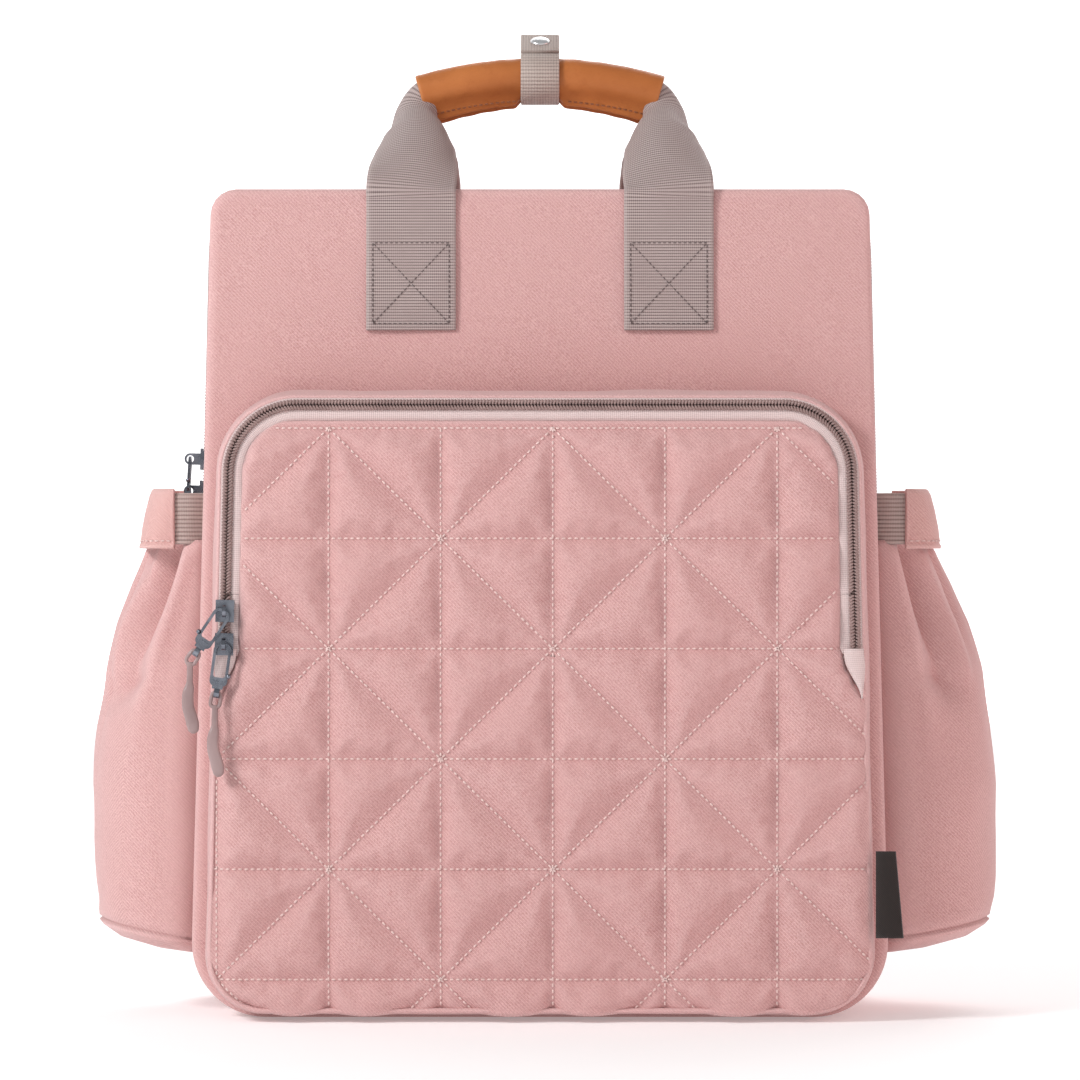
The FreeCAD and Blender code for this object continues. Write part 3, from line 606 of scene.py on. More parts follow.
# ---- the body shell and what is inside ----------------------------------------------------------
def tub(name, look, inset, thickness, sag, step=4.0, rim=HEIGHT + 10):
    """The body's skin or its lining: front, gusset and back in one, open at the mouth."""
    outline, normals = body_outline(step)
    half = MOUTH_HALF + 0.5
    for end in (-half, half):
        nearest = np.argmin(np.abs(outline[:, 0] - end) + (HEIGHT - outline[:, 1]))
        outline[nearest, 0] = end
    x, z = outline.T
    front, back = front_y(z) + inset, back_y(z) - inset
    centre = np.array([0.0, HEIGHT * 0.5])
    spread = [0.0, 0.06, 0.14, 0.22, 0.3, 0.38, 0.46, 0.53, 0.6,
              0.66, 0.72, 0.77, 0.82, 0.86, 0.9, 0.93, 0.96, 0.98]
    rows, flat = [], []

    def panel(plane, side, share):
        ring = outline - normals * (inset + 4.5)
        at = centre + (ring - centre) * share
        rows.append(xyz(at[:, 0], plane(at[:, 1]) - side * inset, at[:, 1]))
        flat.append(side)

    def edge(in_plane, y):
        at = outline - normals * np.reshape(inset + in_plane + 0 * x, (-1, 1))
        rows.append(xyz(at[:, 0], y, at[:, 1]))
        flat.append(0)

    for share in spread:
        panel(front_y, -1, share)
    for in_plane, deep in ((4.5, 0.0), (2.2, 0.2), (0.8, 1.1), (0.1, 2.6)):
        edge(in_plane, front + deep)
    gusset = [0.0, 0.02] + list(np.linspace(0.02, 0.98, 14)[1:-1]) + [0.98, 1.0]
    first = len(rows)
    for share in gusset:
        bulge = sag * gusset_bulge(z) * math.sin(math.pi * share)
        edge(-bulge, (front + 4) * (1 - share) + (back - 4) * share)
    last = len(rows) - 1
    for in_plane, deep in ((0.1, 2.6), (0.8, 1.1), (2.2, 0.2), (4.5, 0.0)):
        edge(in_plane, back - deep)
    for share in reversed(spread):
        panel(back_y, 1, share)
    grid = np.array(rows)
    side = np.array(flat)[:, None]
    grid[:, :, 1] += sag * side * sag_at(grid[:, :, 0], grid[:, :, 2])
    open_top = (z > HEIGHT - 0.5) & (np.abs(x) < half + 0.1)
    lip = 3 if rim < HEIGHT else -1

    def in_mouth(r, c):
        following = (c + 1) % len(x)
        if open_top[c] and open_top[following]:
            return first - lip <= r < last + lip
        return first <= r < last and min(z[c], z[following]) > rim

    faces = [f[::-1] for f in grid_faces(*grid.shape[:2], wrap_cols=True, skip=in_mouth)]
    shell = add_mesh(name, grid.reshape(-1, 3), faces, look)
    return thicken(shell, thickness)


def make_body():
    body = tub("body_shell", "body", 0.0, 2.6, 1.0)
    settle(body, "bag", "front_panel", "back_panel", "left_gusset", "right_gusset", "base_panel", fill=0.3)
    lining = tub("lining_tub", "lining", 5.0, 0.7, 0.6, step=7.0, rim=HEIGHT - 14)
    settle(lining, "bag", "lining", fill=0.1)


def make_organiser():
    """Three slack pockets on the inside of the back wall, each with an elastic hem."""
    low, high = mm_box("inner_organiser")
    depth = high[1] - low[1]
    columns, rows = 91, 30
    edges = [low[0], -44.0, 44.0, high[0]]
    across = np.linspace(low[0] + 1, high[0] - 1, columns)
    up = np.linspace(low[2] + 1, high[2] - 0.5, rows)
    x, z = np.meshgrid(across, up)
    inside = np.digitize(x, edges[1:3])
    left, right = np.array(edges[:3])[inside], np.array(edges[1:])[inside]
    share = np.clip((x - left) / (right - left), 0, 1)
    belly = np.sin(math.pi * share) ** 0.45 * (1 - 0.25 * ease(z, high[2] - 30, high[2]))
    against = back_y(z) - 6.0
    y = against - 1.5 - (depth - 8.5) * belly + 0.8 * ripple(x, z, 24.0, 2.0)
    front = xyz(x, np.maximum(y, low[1] + 1), z)
    panel = add_mesh("organiser_pockets", front.reshape(-1, 3), grid_faces(rows, columns), "lining")
    thicken(panel, 1.2, offset=1.0)
    settle(panel, "bag", "inner_organiser", fill=0.2)
    band = strip("organiser_hem", front[-1], [0, 0, 1], [0, -1, 0], -9, 0.6, 1.6, "elastic", lift=-0.4)
    settle(band, "bag", fill=0.2)


# ---- the front pocket ---------------------------------------------------------------------------
def make_pocket_band():
    """The pocket's side wall, with a rolled front edge."""
    outline, normals = pocket_outline(3.5)
    x, z = outline.T
    seat = front_y(z) + 0.6
    section = [(0.0, None), (-0.2, -64), (0.2, -71), (1.0, -78), (1.7, POCKET_Y + 3.5), (2.1, POCKET_Y + 0.6),
               (2.6, POCKET_Y - 1.2), (3.3, POCKET_Y - 1.9), (4.1, POCKET_Y - 1.6), (4.6, POCKET_Y - 0.4),
               (4.6, POCKET_Y + 1.2), (3.8, POCKET_Y + 4), (3.2, -75), (3.2, None)]
    rings = []
    for inset, y in section:
        depth = seat if y is None else np.full(len(x), float(y))
        wave = 0.0 if y is None or y < POCKET_Y + 4 else 0.5 * ripple(x + 0.8 * z, depth, 30.0, 1.0)
        at = outline - normals * np.reshape(inset + wave, (-1, 1))
        rings.append(xyz(at[:, 0], depth, at[:, 1]))
    rings = np.array(rings)
    band = add_mesh("pocket_side_band", rings.reshape(-1, 3),
                    grid_faces(*rings.shape[:2], wrap_rows=True, wrap_cols=True), "body")
    settle(band, "bag", "pocket_band", fill=0.3)


def quilt_inset(z):
    """How far the quilted cloth stays in from the pocket's outline: clear of the zip, then at the seam."""
    return 1.6 + 11.6 * ease(z, 138, 170)


def outline_half_width(z, inset):
    """Half the pocket's width at a height, with its round corners, taken in by inset."""
    z = np.asarray(z, float)
    half = POCKET_HALF_BASE + (POCKET_HALF_TOP - POCKET_HALF_BASE) * z / POCKET_TOP - inset
    top_r, base_r = POCKET_TOP_RADIUS - inset, POCKET_BASE_RADIUS - inset
    above = np.clip(z - (POCKET_TOP - inset - top_r), 0, top_r)
    below = np.clip((POCKET_FLOOR + inset + base_r) - z, 0, base_r)
    return half - (top_r - np.sqrt(top_r ** 2 - above ** 2)) - (base_r - np.sqrt(base_r ** 2 - below ** 2))


def quilt_base(x, z):
    """Depth of the quilted face before it puffs: it rolls back under the bag and at its lower sides."""
    under = np.clip((24.0 - z) / 24.0, 0, 1)
    roll = 15.0 * (1 - np.sqrt(1 - 0.98 * under ** 2))
    side = np.clip((np.abs(x) - (outline_half_width(z, quilt_inset(z)) - 12)) / 12, 0, 1)
    low = ease(z, 176, 140)
    return QUILT_Y + roll + side ** 2 * (1.2 + 2.6 * low)


def seam_distance(x, z):
    """Distance to the nearest stitched line of the star pattern."""
    u, v = (x - QUILT_LEFT) / CELL_W, (QUILT_TOP - z) / CELL_H
    i, j = np.floor(u), np.floor(v)
    a, b = u - i, v - j
    falling = ((i + j) % 2).astype(bool)
    slope = np.where(falling, np.abs(a - b), np.abs(a + b - 1)) * CELL_W / math.sqrt(2)
    straight = np.minimum(np.minimum(a, 1 - a) * CELL_W, np.minimum(b, 1 - b) * CELL_H)
    return np.where(v > 0, np.minimum(slope, straight), np.minimum(straight, -v * CELL_H))


def puffed(x, z):
    """The height of the padding between the stitches, where no simulation is run."""
    d = np.minimum(seam_distance(x, z), 14.6) / 14.6
    return 0.72 * PUFF * (1 - (1 - d) ** 2.0)


def quilt_grid(per_cell=16):
    """Grid points of the quilted cloth, kept inside its outline, and which of them are stitched down."""
    left, right = 3, 98
    high = 3
    low = int((QUILT_TOP - POCKET_FLOOR) / CELL_H * per_cell)
    columns = np.arange(-left, right + 1)
    rows = np.arange(-high, low + 1)
    c, r = np.meshgrid(columns, rows)
    x, z = QUILT_LEFT + c * CELL_W / per_cell, QUILT_TOP - r * CELL_H / per_cell
    a, b = c % per_cell, r % per_cell
    falling = ((c // per_cell + r // per_cell) % 2).astype(bool)
    diagonal = np.where(falling, a == b, a + b == per_cell)
    stitched = (r >= 0) & ((b == 0) | (a == 0) | diagonal)
    half = outline_half_width(z, quilt_inset(z))
    top = POCKET_TOP - 13.4
    inside = (np.abs(x) < half - 1.0) & (z < top - 1.0) & (z > POCKET_FLOOR + 1.8)
    keep = inside.copy()
    for dr in (-1, 0, 1):
        for dc in (-1, 0, 1):
            keep |= np.roll(np.roll(inside, dr, 0), dc, 1)
    z = np.clip(z, POCKET_FLOOR + 0.8, top)
    half = outline_half_width(z, quilt_inset(z))
    rim = keep & ~inside
    x = np.where(rim, np.clip(x, -half, half), x)
    return x, z, keep, stitched | rim


def welded(points, faces, near=0.6):
    """The points with close ones merged, the faces that are left, and the old number of each kept point."""
    keys = np.round(points / near).astype(int)
    first, index = np.unique(keys, axis=0, return_index=True, return_inverse=True)[1:]
    index = index.ravel()
    corners = [list(dict.fromkeys(int(index[i]) for i in face)) for face in faces]
    return points[first], [c for c in corners if len(c) > 2], first


def make_quilt():
    x, z, keep, pinned = quilt_grid()
    rows, cols = x.shape
    faces = [f for f in grid_faces(rows, cols) if all(keep.flat[i] for i in f)]
    used = sorted({i for f in faces for i in f})
    renumber = {old: new for new, old in enumerate(used)}
    points = xyz(x, quilt_base(x, z), z).reshape(-1, 3)[used]
    points, faces, kept = welded(points, [[renumber[i] for i in f[::-1]] for f in faces])
    flat_x, depth, flat_z = points.T.copy()
    held = pinned.ravel()[used][kept]
    points[:, 1] -= np.where(held, 0, puffed(flat_x, flat_z))
    quilt = add_mesh("quilted_panel", points, faces, "quilt")
    raised = points.copy()
    raised = inflated(quilt, held)
    raised[:, 1] = np.clip(raised[:, 1], depth - PUFF - 1.4, depth + 0.6)
    raised[:, 1] -= 0.25 * ripple(flat_x, flat_z, 9.0) * ~held
    raised[:, 1] += 0.7 * (seam_distance(flat_x, flat_z) < 0.4)
    quilt.data.vertices.foreach_set("co", (raised * MM).ravel())
    quilt.data.update()
    quilt = smoothed(quilt)
    surface = surface_of(quilt)
    quilt = thicken(quilt, 2.2)
    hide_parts("quilt_panel_upper", "quilt_panel_lower")
    across_fold(quilt)
    stitches = quilt_stitches(surface)
    across_fold(stitches)


def across_fold(piece):
    """The piece's placement is baked into its mesh."""
    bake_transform(piece)


def inflated(cloth, held):
    """The cloth's points, in millimetres, after pressure from behind, held at the given points."""
    group = cloth.vertex_groups.new(name="held")
    group.add([int(i) for i in np.flatnonzero(held)], 1.0, "REPLACE")
    modifier = cloth.modifiers.new("puff", "CLOTH")
    settings = modifier.settings
    settings.quality = 6
    settings.mass = 0.2
    settings.tension_stiffness = 18.0
    settings.compression_stiffness = 12.0
    settings.shear_stiffness = 8.0
    settings.bending_stiffness = 0.35
    settings.shrink_min = -0.05
    settings.shrink_max = -0.05
    settings.use_pressure = True
    settings.uniform_pressure_force = 160.0
    settings.vertex_group_mass = "held"
    settings.effector_weights.gravity = 0.0
    modifier.collision_settings.use_collision = False
    modifier.collision_settings.use_self_collision = False
    modifier.point_cache.frame_end = 24
    for number in range(1, 22):
        bpy.context.scene.frame_set(number)
    result = evaluated_mesh(cloth)
    points = np.zeros(len(result.vertices) * 3)
    result.vertices.foreach_get("co", points)
    cloth.modifiers.clear()
    cloth.vertex_groups.clear()
    bpy.data.meshes.remove(result)
    bpy.context.scene.frame_set(1)
    return points.reshape(-1, 3) / MM


def quilt_lines():
    """The stitched lines: columns, rows and the diagonals of each cell, each as two end points."""
    lines = []
    for i in range(7):
        x = QUILT_LEFT + i * CELL_W
        lines.append(((x, QUILT_TOP if i else 146.0), (x, POCKET_FLOOR + 2)))
    for j in range(6):
        z = QUILT_TOP - j * CELL_H
        lines.append(((-POCKET_HALF_BASE, z), (POCKET_HALF_BASE, z)))
    for i in range(-1, 6):
        for j in range(6):
            x0, x1 = QUILT_LEFT + i * CELL_W, QUILT_LEFT + (i + 1) * CELL_W
            z0, z1 = QUILT_TOP - j * CELL_H, QUILT_TOP - (j + 1) * CELL_H
            lines.append(((x0, z0), (x1, z1)) if (i + j) % 2 else ((x1, z0), (x0, z1)))
    return [np.array(line) for line in lines]


def on_surface(surface, flat_points, proud=0.3):
    """Points of the XZ plane dropped on a surface from the front, and which of them hit it."""
    found, hit = [], []
    for px, pz in flat_points:
        place = surface.ray_cast(Vector((px * MM, -0.2, pz * MM)), Vector((0, 1, 0)))[0]
        hit.append(place is not None)
        found.append((px, place.y / MM - proud if place else 0.0, pz))
    return np.array(found), np.array(hit)


def quilt_stitches(surface):
    starts, ends = [], []
    for line in quilt_lines():
        first, last = dashes(line, 2.8, 0.66)
        starts.append(first)
        ends.append(last)
    starts, ends = np.vstack(starts), np.vstack(ends)
    first, hit_first = on_surface(surface, starts)
    last, hit_last = on_surface(surface, ends)
    inside = hit_first & hit_last
    for flat in (starts, ends):
        inside &= np.abs(flat[:, 0]) < outline_half_width(flat[:, 1], quilt_inset(flat[:, 1]) + 1.5)
        inside &= flat[:, 1] > POCKET_FLOOR + 3
    knots = [(QUILT_LEFT + i * CELL_W, QUILT_TOP - j * CELL_H)
             for i in range(1, 6) for j in range(6) if (i + j) % 2]
    middle, hit = on_surface(surface, knots, proud=0.5)
    reach = np.array([0.9, 0, 0.5])
    middle = middle[hit]
    all_starts = np.vstack([first[inside], middle - reach, middle - reach * [1, 0, -1]])
    all_ends = np.vstack([last[inside], middle + reach, middle + reach * [1, 0, -1]])
    return capsules("quilt_stitches", all_starts, all_ends, 0.44, "stitch", sides=6)


# ---- zips ---------------------------------------------------------------------------------------
def teeth(name, path, across, normal, side, height, pitch=1.45, radius=0.58):
    """One side of a coil: slanted loops along the path, and the cord that they are sewn to."""
    places = divided(np.hstack(np.broadcast_arrays(path, across, normal)), pitch)
    at, out, up = places[:, :3], unit(places[:, 3:6]), unit(places[:, 6:9])
    along = unit(np.gradient(at, axis=0))
    base = at + up * height
    starts = base + along * (0.45 if side > 0 else 0.45 + pitch / 2)
    ends = base + out * side * 2.55 - along * 0.55
    loops = capsules(name + "_loops", starts, ends, radius, "coil", sides=6)
    cord = tube(name + "_cord", base + out * side * 1.5 - up * 0.35, 0.62, "coil", sides=6)
    return joined(name, [loops, cord])


def tube(name, path, radius, look, sides=8, closed=False):
    """A round tube along a path; radius may differ at each point."""
    path = np.asarray(path, float)
    along = unit(np.gradient(path, axis=0))
    side = unit(np.cross(along, np.where(np.abs(along[:, 1:2]) > 0.9, [[1.0, 0, 0]], [[0.0, 1, 0]])))
    for i in range(1, len(side)):
        side[i] = unit(side[i - 1] - along[i] * (side[i - 1] @ along[i]))
    other = np.cross(along, side)
    radii = np.broadcast_to(np.asarray(radius, float), len(path))[:, None]
    turns = np.arange(sides) * 2 * math.pi / sides
    rings = np.stack([path + (side * math.cos(t) + other * math.sin(t)) * radii for t in turns], axis=1)
    return loft(name, rings, look, run_uvs(turns * float(radii.mean()), run_length(path)), closed=closed)


def pocket_zip_path():
    """The front coil's middle line, from one end over the top to the other, and its outward directions."""
    outline, normals = pocket_outline(0.8, COIL_INSET)
    x, z = outline.T
    start = int(np.argmin(np.where(x > 0, np.abs(z - ZIP_END_Z), 1e9)))
    order = np.roll(np.arange(len(x)), -start)
    keep = [i for i in order if z[i] >= ZIP_END_Z - 1.5]
    flat, out = outline[keep], normals[keep]
    return xyz(flat[:, 0], POCKET_Y, flat[:, 1]), xyz(out[:, 0], 0, out[:, 1])


def runs_below(path, z):
    """Slices of the path that lie below a height, one on each side of the bag."""
    low = np.flatnonzero(path[:, 2] < z)
    gap = np.flatnonzero(np.diff(low) > 1)
    return [slice(low[0], low[gap[0]] + 1), slice(low[gap[0] + 1], low[-1] + 1)]


def make_pocket_zip():
    path, across = pocket_zip_path()
    normal = np.array([0.0, -1.0, 0.0])
    height = 2.5
    above = np.flatnonzero(path[:, 2] > FOLD_Z - 0.8)
    whole = slice(above[0], above[-1] + 1)
    lower = runs_below(path, FOLD_Z)

    def inner_tape(name, s):
        return strip(name, path[s], across[s], normal, -7.6, -0.7, 1.4, "tape", lift=0.3, crown=0.3)

    def inner_teeth(name, s):
        return teeth(name, path[s], across[s], normal, -1, height)

    outer = strip("front_zip_outer_tape", path, across, normal, 0.7, 3.4, 1.4, "tape", lift=0.3)
    fixed = joined("front_zip_tape_lower", [outer] + [inner_tape("inner_tape", s) for s in lower])
    settle(fixed, "bag", "front_zip_tape_fixed")
    flap = inner_tape("front_zip_tape_upper", whole)
    settle(flap, "pocket_flap", "front_zip_tape_flap")
    coils = [teeth("coil", path, across, normal, 1, height)]
    coils += [inner_teeth("coil", s) for s in lower]
    settle(joined("front_zip_coil_lower", coils), "bag", "front_zip_coil_fixed")
    settle(inner_teeth("front_zip_coil_upper", whole), "pocket_flap", "front_zip_coil_flap")


def make_tape_tails():
    """The ends of the zip's tape, narrowing into the pocket's seams under the sliders."""
    tails = []
    for side in (-1, 1):
        z = np.linspace(ZIP_END_Z + 3, 146.5, 14)
        width = 4.6 * (1 - ease(z, 164, 146) * 0.92)
        x = side * (outline_half_width(z, COIL_INSET) - 1.0 + 3.4 * ease(z, 168, 146))
        path = xyz(x, POCKET_Y - 4.6, z)
        section = [(-1, 0.6), (-0.9, 0), (0, -0.4), (0.9, 0), (1, 0.6), (0, 1.6)]
        rings = np.stack([path + np.outer(width, [a, 0, 0]) + [0, h, 0] for a, h in section], axis=1)
        tails.append(loft("tail", rings, "tape", run_uvs([width * a for a, h in section], z)))
    settle(joined("zip_tape_tails", tails), "bag", "zip_end_covers", fill=0.0)


def make_mouth():
    """The two top strips, each with its half of the main zip, which lift with its body."""
    for name, side in (("front", -1), ("back", 1)):
        low, high = mm_box("mouth_strip_" + name)
        body = "mouth_flap_" + name
        x = np.linspace(-MOUTH_HALF - 0.1, MOUTH_HALF + 0.1, 90)
        near, far = (abs(y - MOUTH_MID) for y in ((high[1], low[1]) if side < 0 else (low[1], high[1])))
        path = xyz(x, MOUTH_MID, low[2])
        across, normal = np.array([0.0, side, 0.0]), np.array([0.0, 0.0, 1.0])
        panel = [path + across * a + normal * h for a, h in
                 ((near, 0.5), (near, 2.4), (near + 2, 3.0), (near + 4.5, 2.7), ((near + far) / 2, 3.2),
                  (far - 5, 3.3), (far - 1, 3.0), (far, 2.2), (far, 0.6), ((near + far) / 2, 0.4))]
        rings = np.stack(panel, axis=1)
        rings[:, 4:6, 2] += 0.35 * ripple(x, x * 0, 26.0, side)[:, None]
        piece = loft("mouth_panel_" + name, rings, "body")
        settle(piece, body, "mouth_strip_" + name, fill=0.2)
        tape = strip("main_tape_" + name, path, across, normal, 0.7, near + 1.0, 1.3, "tape", lift=0.2)
        settle(tape, body, "main_zip_tape_" + name, fill=0.0)
        coil = teeth("main_coil_" + name, path, across, normal, 1, 2.3)
        settle(coil, body, "main_zip_coil_" + name)
        line = path + across * (near + 2.4) + normal * 3.0
        settle(seam("mouth_stitches_" + name, [line], 0.3), body)


def make_side_zips():
    """The main zip's runs over the top corners and down the gussets."""
    outline, normals = body_outline(2.5)
    tapes, coils = [], []
    end_z = mm_box("side_zip_tapes")[0][2]
    for side in (-1, 1):
        keep = np.flatnonzero((side * outline[:, 0] > MOUTH_HALF - 2) & (outline[:, 1] > end_z))
        if side < 0:
            keep = keep[::-1]
        order = np.argsort(outline[keep, 1] - np.abs(outline[keep, 0]) * 0.2)
        flat, out = outline[keep][order], normals[keep][order]
        flat = flat + out * 0.8 * gusset_bulge(flat[:, 1])[:, None]
        path, normal = xyz(flat[:, 0], MOUTH_MID, flat[:, 1]), xyz(out[:, 0], 0, out[:, 1])
        for way in (-1.0, 1.0):
            across = np.array([0.0, way, 0.0])
            tapes.append(strip("tape", path, across, normal, 0.7, 7.6, 1.2, "tape", lift=0.2))
            coils.append(teeth("coil", path, across, normal, 1, 2.3))
    settle(joined("side_tapes", tapes), "bag", "side_zip_tapes", fill=0.0)
    settle(joined("side_coils", coils), "bag", "side_zip_coils")


# ---- carry handles ------------------------------------------------------------------------------
def leg_path(side, sign):
    """Middle line of a handle leg, from its sewn end up into the grip, drawn for the leg at -X."""
    plane, patch_low = (front_y, 314.0) if side < 0 else (back_y, 358.0)
    reach = MOUTH_MID + side * GRIP_OFFSET
    proud = side * (WEB_T * 0.5 + 0.5)
    start = [(-LEG_X, float(plane(z) + side * sag_at(LEG_X, z)) + proud, z)
             for z in (patch_low, patch_low + 8, 366, 374, 380)]
    lift = start[-1][1]
    rise = [(-57.8, lift + (reach - lift) * 0.14, 391), (-56.9, lift + (reach - lift) * 0.33, 402),
            (-56.4, lift + (reach - lift) * 0.55, 412.0), (-55.6, reach + side * 8.5, 420.5),
            (-51.5, reach + side * 6.2, 426.4), (-44.0, reach + side * 5.4, 428.6)]
    points = np.array(start + rise)
    points[:, 0] *= sign
    return points


def leg_ribbon(name, side, sign):
    """A handle leg: flat where it is sewn on, then rolled into a U that fills the grip's open end."""
    path = curve_through(leg_path(side, sign), 120)
    tangent = unit(np.gradient(path, axis=0))
    facing = np.array([0.0, side, 0.0])
    facing = unit(facing - tangent * np.sum(facing * tangent, axis=1, keepdims=True))
    across = np.cross(facing, tangent) * side
    heights = [380, 389, 397, 405, 412, 418, 425, 428]
    roll = np.interp(path[:, 2], heights, [0.02, 0.35, 0.72, 1.0, 1.3, 1.8, 2.8, 3.3])
    q = np.linspace(-1, 1, 25)
    radius = (WEB_W / 2 / roll)[:, None, None]
    sine, cosine = (turn(np.outer(roll, q))[:, :, None] for turn in (np.sin, np.cos))
    across, facing = across[:, None], facing[:, None]
    middle = path[:, None] + across * radius * sine - facing * radius * (1 - cosine)
    face = facing * cosine + across * sine
    outer, inner = middle + face * WEB_T * 0.5, middle - face * WEB_T * 0.5
    rings = np.concatenate([outer, inner[:, ::-1]], axis=1)
    return loft(name, rings, "webbing", run_uvs(np.concatenate([q, q[::-1]]) * WEB_W / 2, run_length(path)))


def patch_stitches(side, sign):
    """A box and a cross of dark thread on a sewn end."""
    plane, low, high = (front_y, 317.0, 354.0) if side < 0 else (back_y, 360.5, 376.0)
    x0, x1 = sign * LEG_X - 17.5, sign * LEG_X + 17.5
    corners = [(x0, low), (x1, low), (x1, high), (x0, high)]
    lines = [(corners[i], corners[(i + 1) % 4]) for i in range(4)]
    lines += [(corners[0], corners[2]), (corners[1], corners[3])]
    starts, ends = zip(*(dashes(np.array(line), 2.3, 0.7) for line in lines))
    result = []
    for flat in (np.vstack(starts), np.vstack(ends)):
        y = plane(flat[:, 1]) + side * (sag_at(LEG_X, flat[:, 1]) + WEB_T + 0.6)
        result.append(xyz(flat[:, 0], y, flat[:, 1]))
    return result


def grip_arc(count):
    """Points along the grip's middle line as (x, z), and the angle of each."""
    ring = (GRIP_HALF ** 2 + GRIP_RISE ** 2) / (2 * GRIP_RISE)
    end = math.asin(GRIP_HALF / ring)
    angle = np.linspace(-end, end, count)
    return ring * np.sin(angle), GRIP_END_Z + GRIP_RISE - ring + ring * np.cos(angle), angle


def make_grip(name, side):
    """A leather tube folded round the webbing, with its two edges sewn together in a flange below."""
    count, around = 72, 40
    x, z, angle = grip_arc(count)
    y = MOUTH_MID + side * GRIP_OFFSET
    free = ease(np.abs(x), 8.5, 12.5)
    hem = (3.3 + 2.3 * (np.abs(x) / GRIP_HALF) ** 1.5) * free + 0.3
    turn = np.linspace(0, 2 * math.pi, around, endpoint=False) + math.pi / 2
    rings_out, rings_in = [], []
    creases = 0.22 * ripple(x, x * 0.3, 5.0, side)
    for wall, store in ((0.0, rings_out), (1.6, rings_in)):
        for t in turn:
            down = max(0.0, -math.sin(t)) ** 14
            r = GRIP_R - wall + creases * (wall == 0) * (0.4 + 0.6 * abs(math.sin(t)))
            drop = down * hem * (1.0 if wall == 0 else 0.15)
            pinch = 1 - 0.35 * max(0.0, -math.sin(t)) ** 4 * free
            dy, up = r * math.cos(t) * pinch, r * math.sin(t) - drop
            store.append(xyz(x + np.sin(angle) * up, y + dy, z + np.cos(angle) * up))
    outer, inner = np.stack(rings_out, axis=1), np.stack(rings_in, axis=1)
    rows = np.concatenate([outer, inner[::-1]], axis=0)
    faces = grid_faces(*rows.shape[:2], wrap_rows=True, wrap_cols=True)
    grip = smoothed(add_mesh(name, rows.reshape(-1, 3), faces, "leather"))
    row = []
    for share in np.linspace(0.015, 0.985, 120):
        i = share * (count - 1)
        px, pz, a = (np.interp(i, np.arange(count), values) for values in (x, z, angle))
        up = -(GRIP_R + 1.9)
        row.append((px + math.sin(a) * up, pz + math.cos(a) * up))
    starts, ends = dashes(row, 2.6, 0.7)
    surface = surface_of(grip)
    rows = []
    for way in (-1, 1):
        pair = []
        for flat in (starts, ends):
            hits = [surface.ray_cast(Vector((px * MM, (y + way * 30) * MM, pz * MM)), Vector((0, -way, 0)))[0]
                    for px, pz in flat]
            pair.append(np.array([(px, h.y / MM + way * 0.12 if h else np.nan, pz)
                                  for h, (px, pz) in zip(hits, flat)]))
        good = ~np.isnan(pair[0][:, 1]) & ~np.isnan(pair[1][:, 1]) & (np.abs(starts[:, 0]) > 12.5)
        rows.append((pair[0][good], pair[1][good]))
    starts, ends = (np.vstack(points) for points in zip(*rows))
    return grip, capsules(name + "_stitches", starts, ends, 0.42, "stitch_tan")


def make_handles():
    for name, side, body in (("front", -1, "front_handle"), ("back", 1, "back_handle")):
        legs = [leg_ribbon("leg", side, sign) for sign in (-1, 1)]
        straps = joined("handle_straps_" + name, legs)
        nodes = ["handle_webbing_" + name] + (["handle_sewn_ends"] if side < 0 else [])
        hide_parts(*nodes)
        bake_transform(straps)
        rows = [patch_stitches(side, sign) for sign in (-1, 1)]
        starts, ends = (np.vstack(points) for points in zip(*rows))
        settle(capsules("handle_stitches_" + name, starts, ends, 0.28, "stitch_grey"), "bag")
        grip, sewn = make_grip("grip_" + name, side)
        settle(grip, body, "handle_grip_" + name, fill=0.8)
        settle(sewn, body)


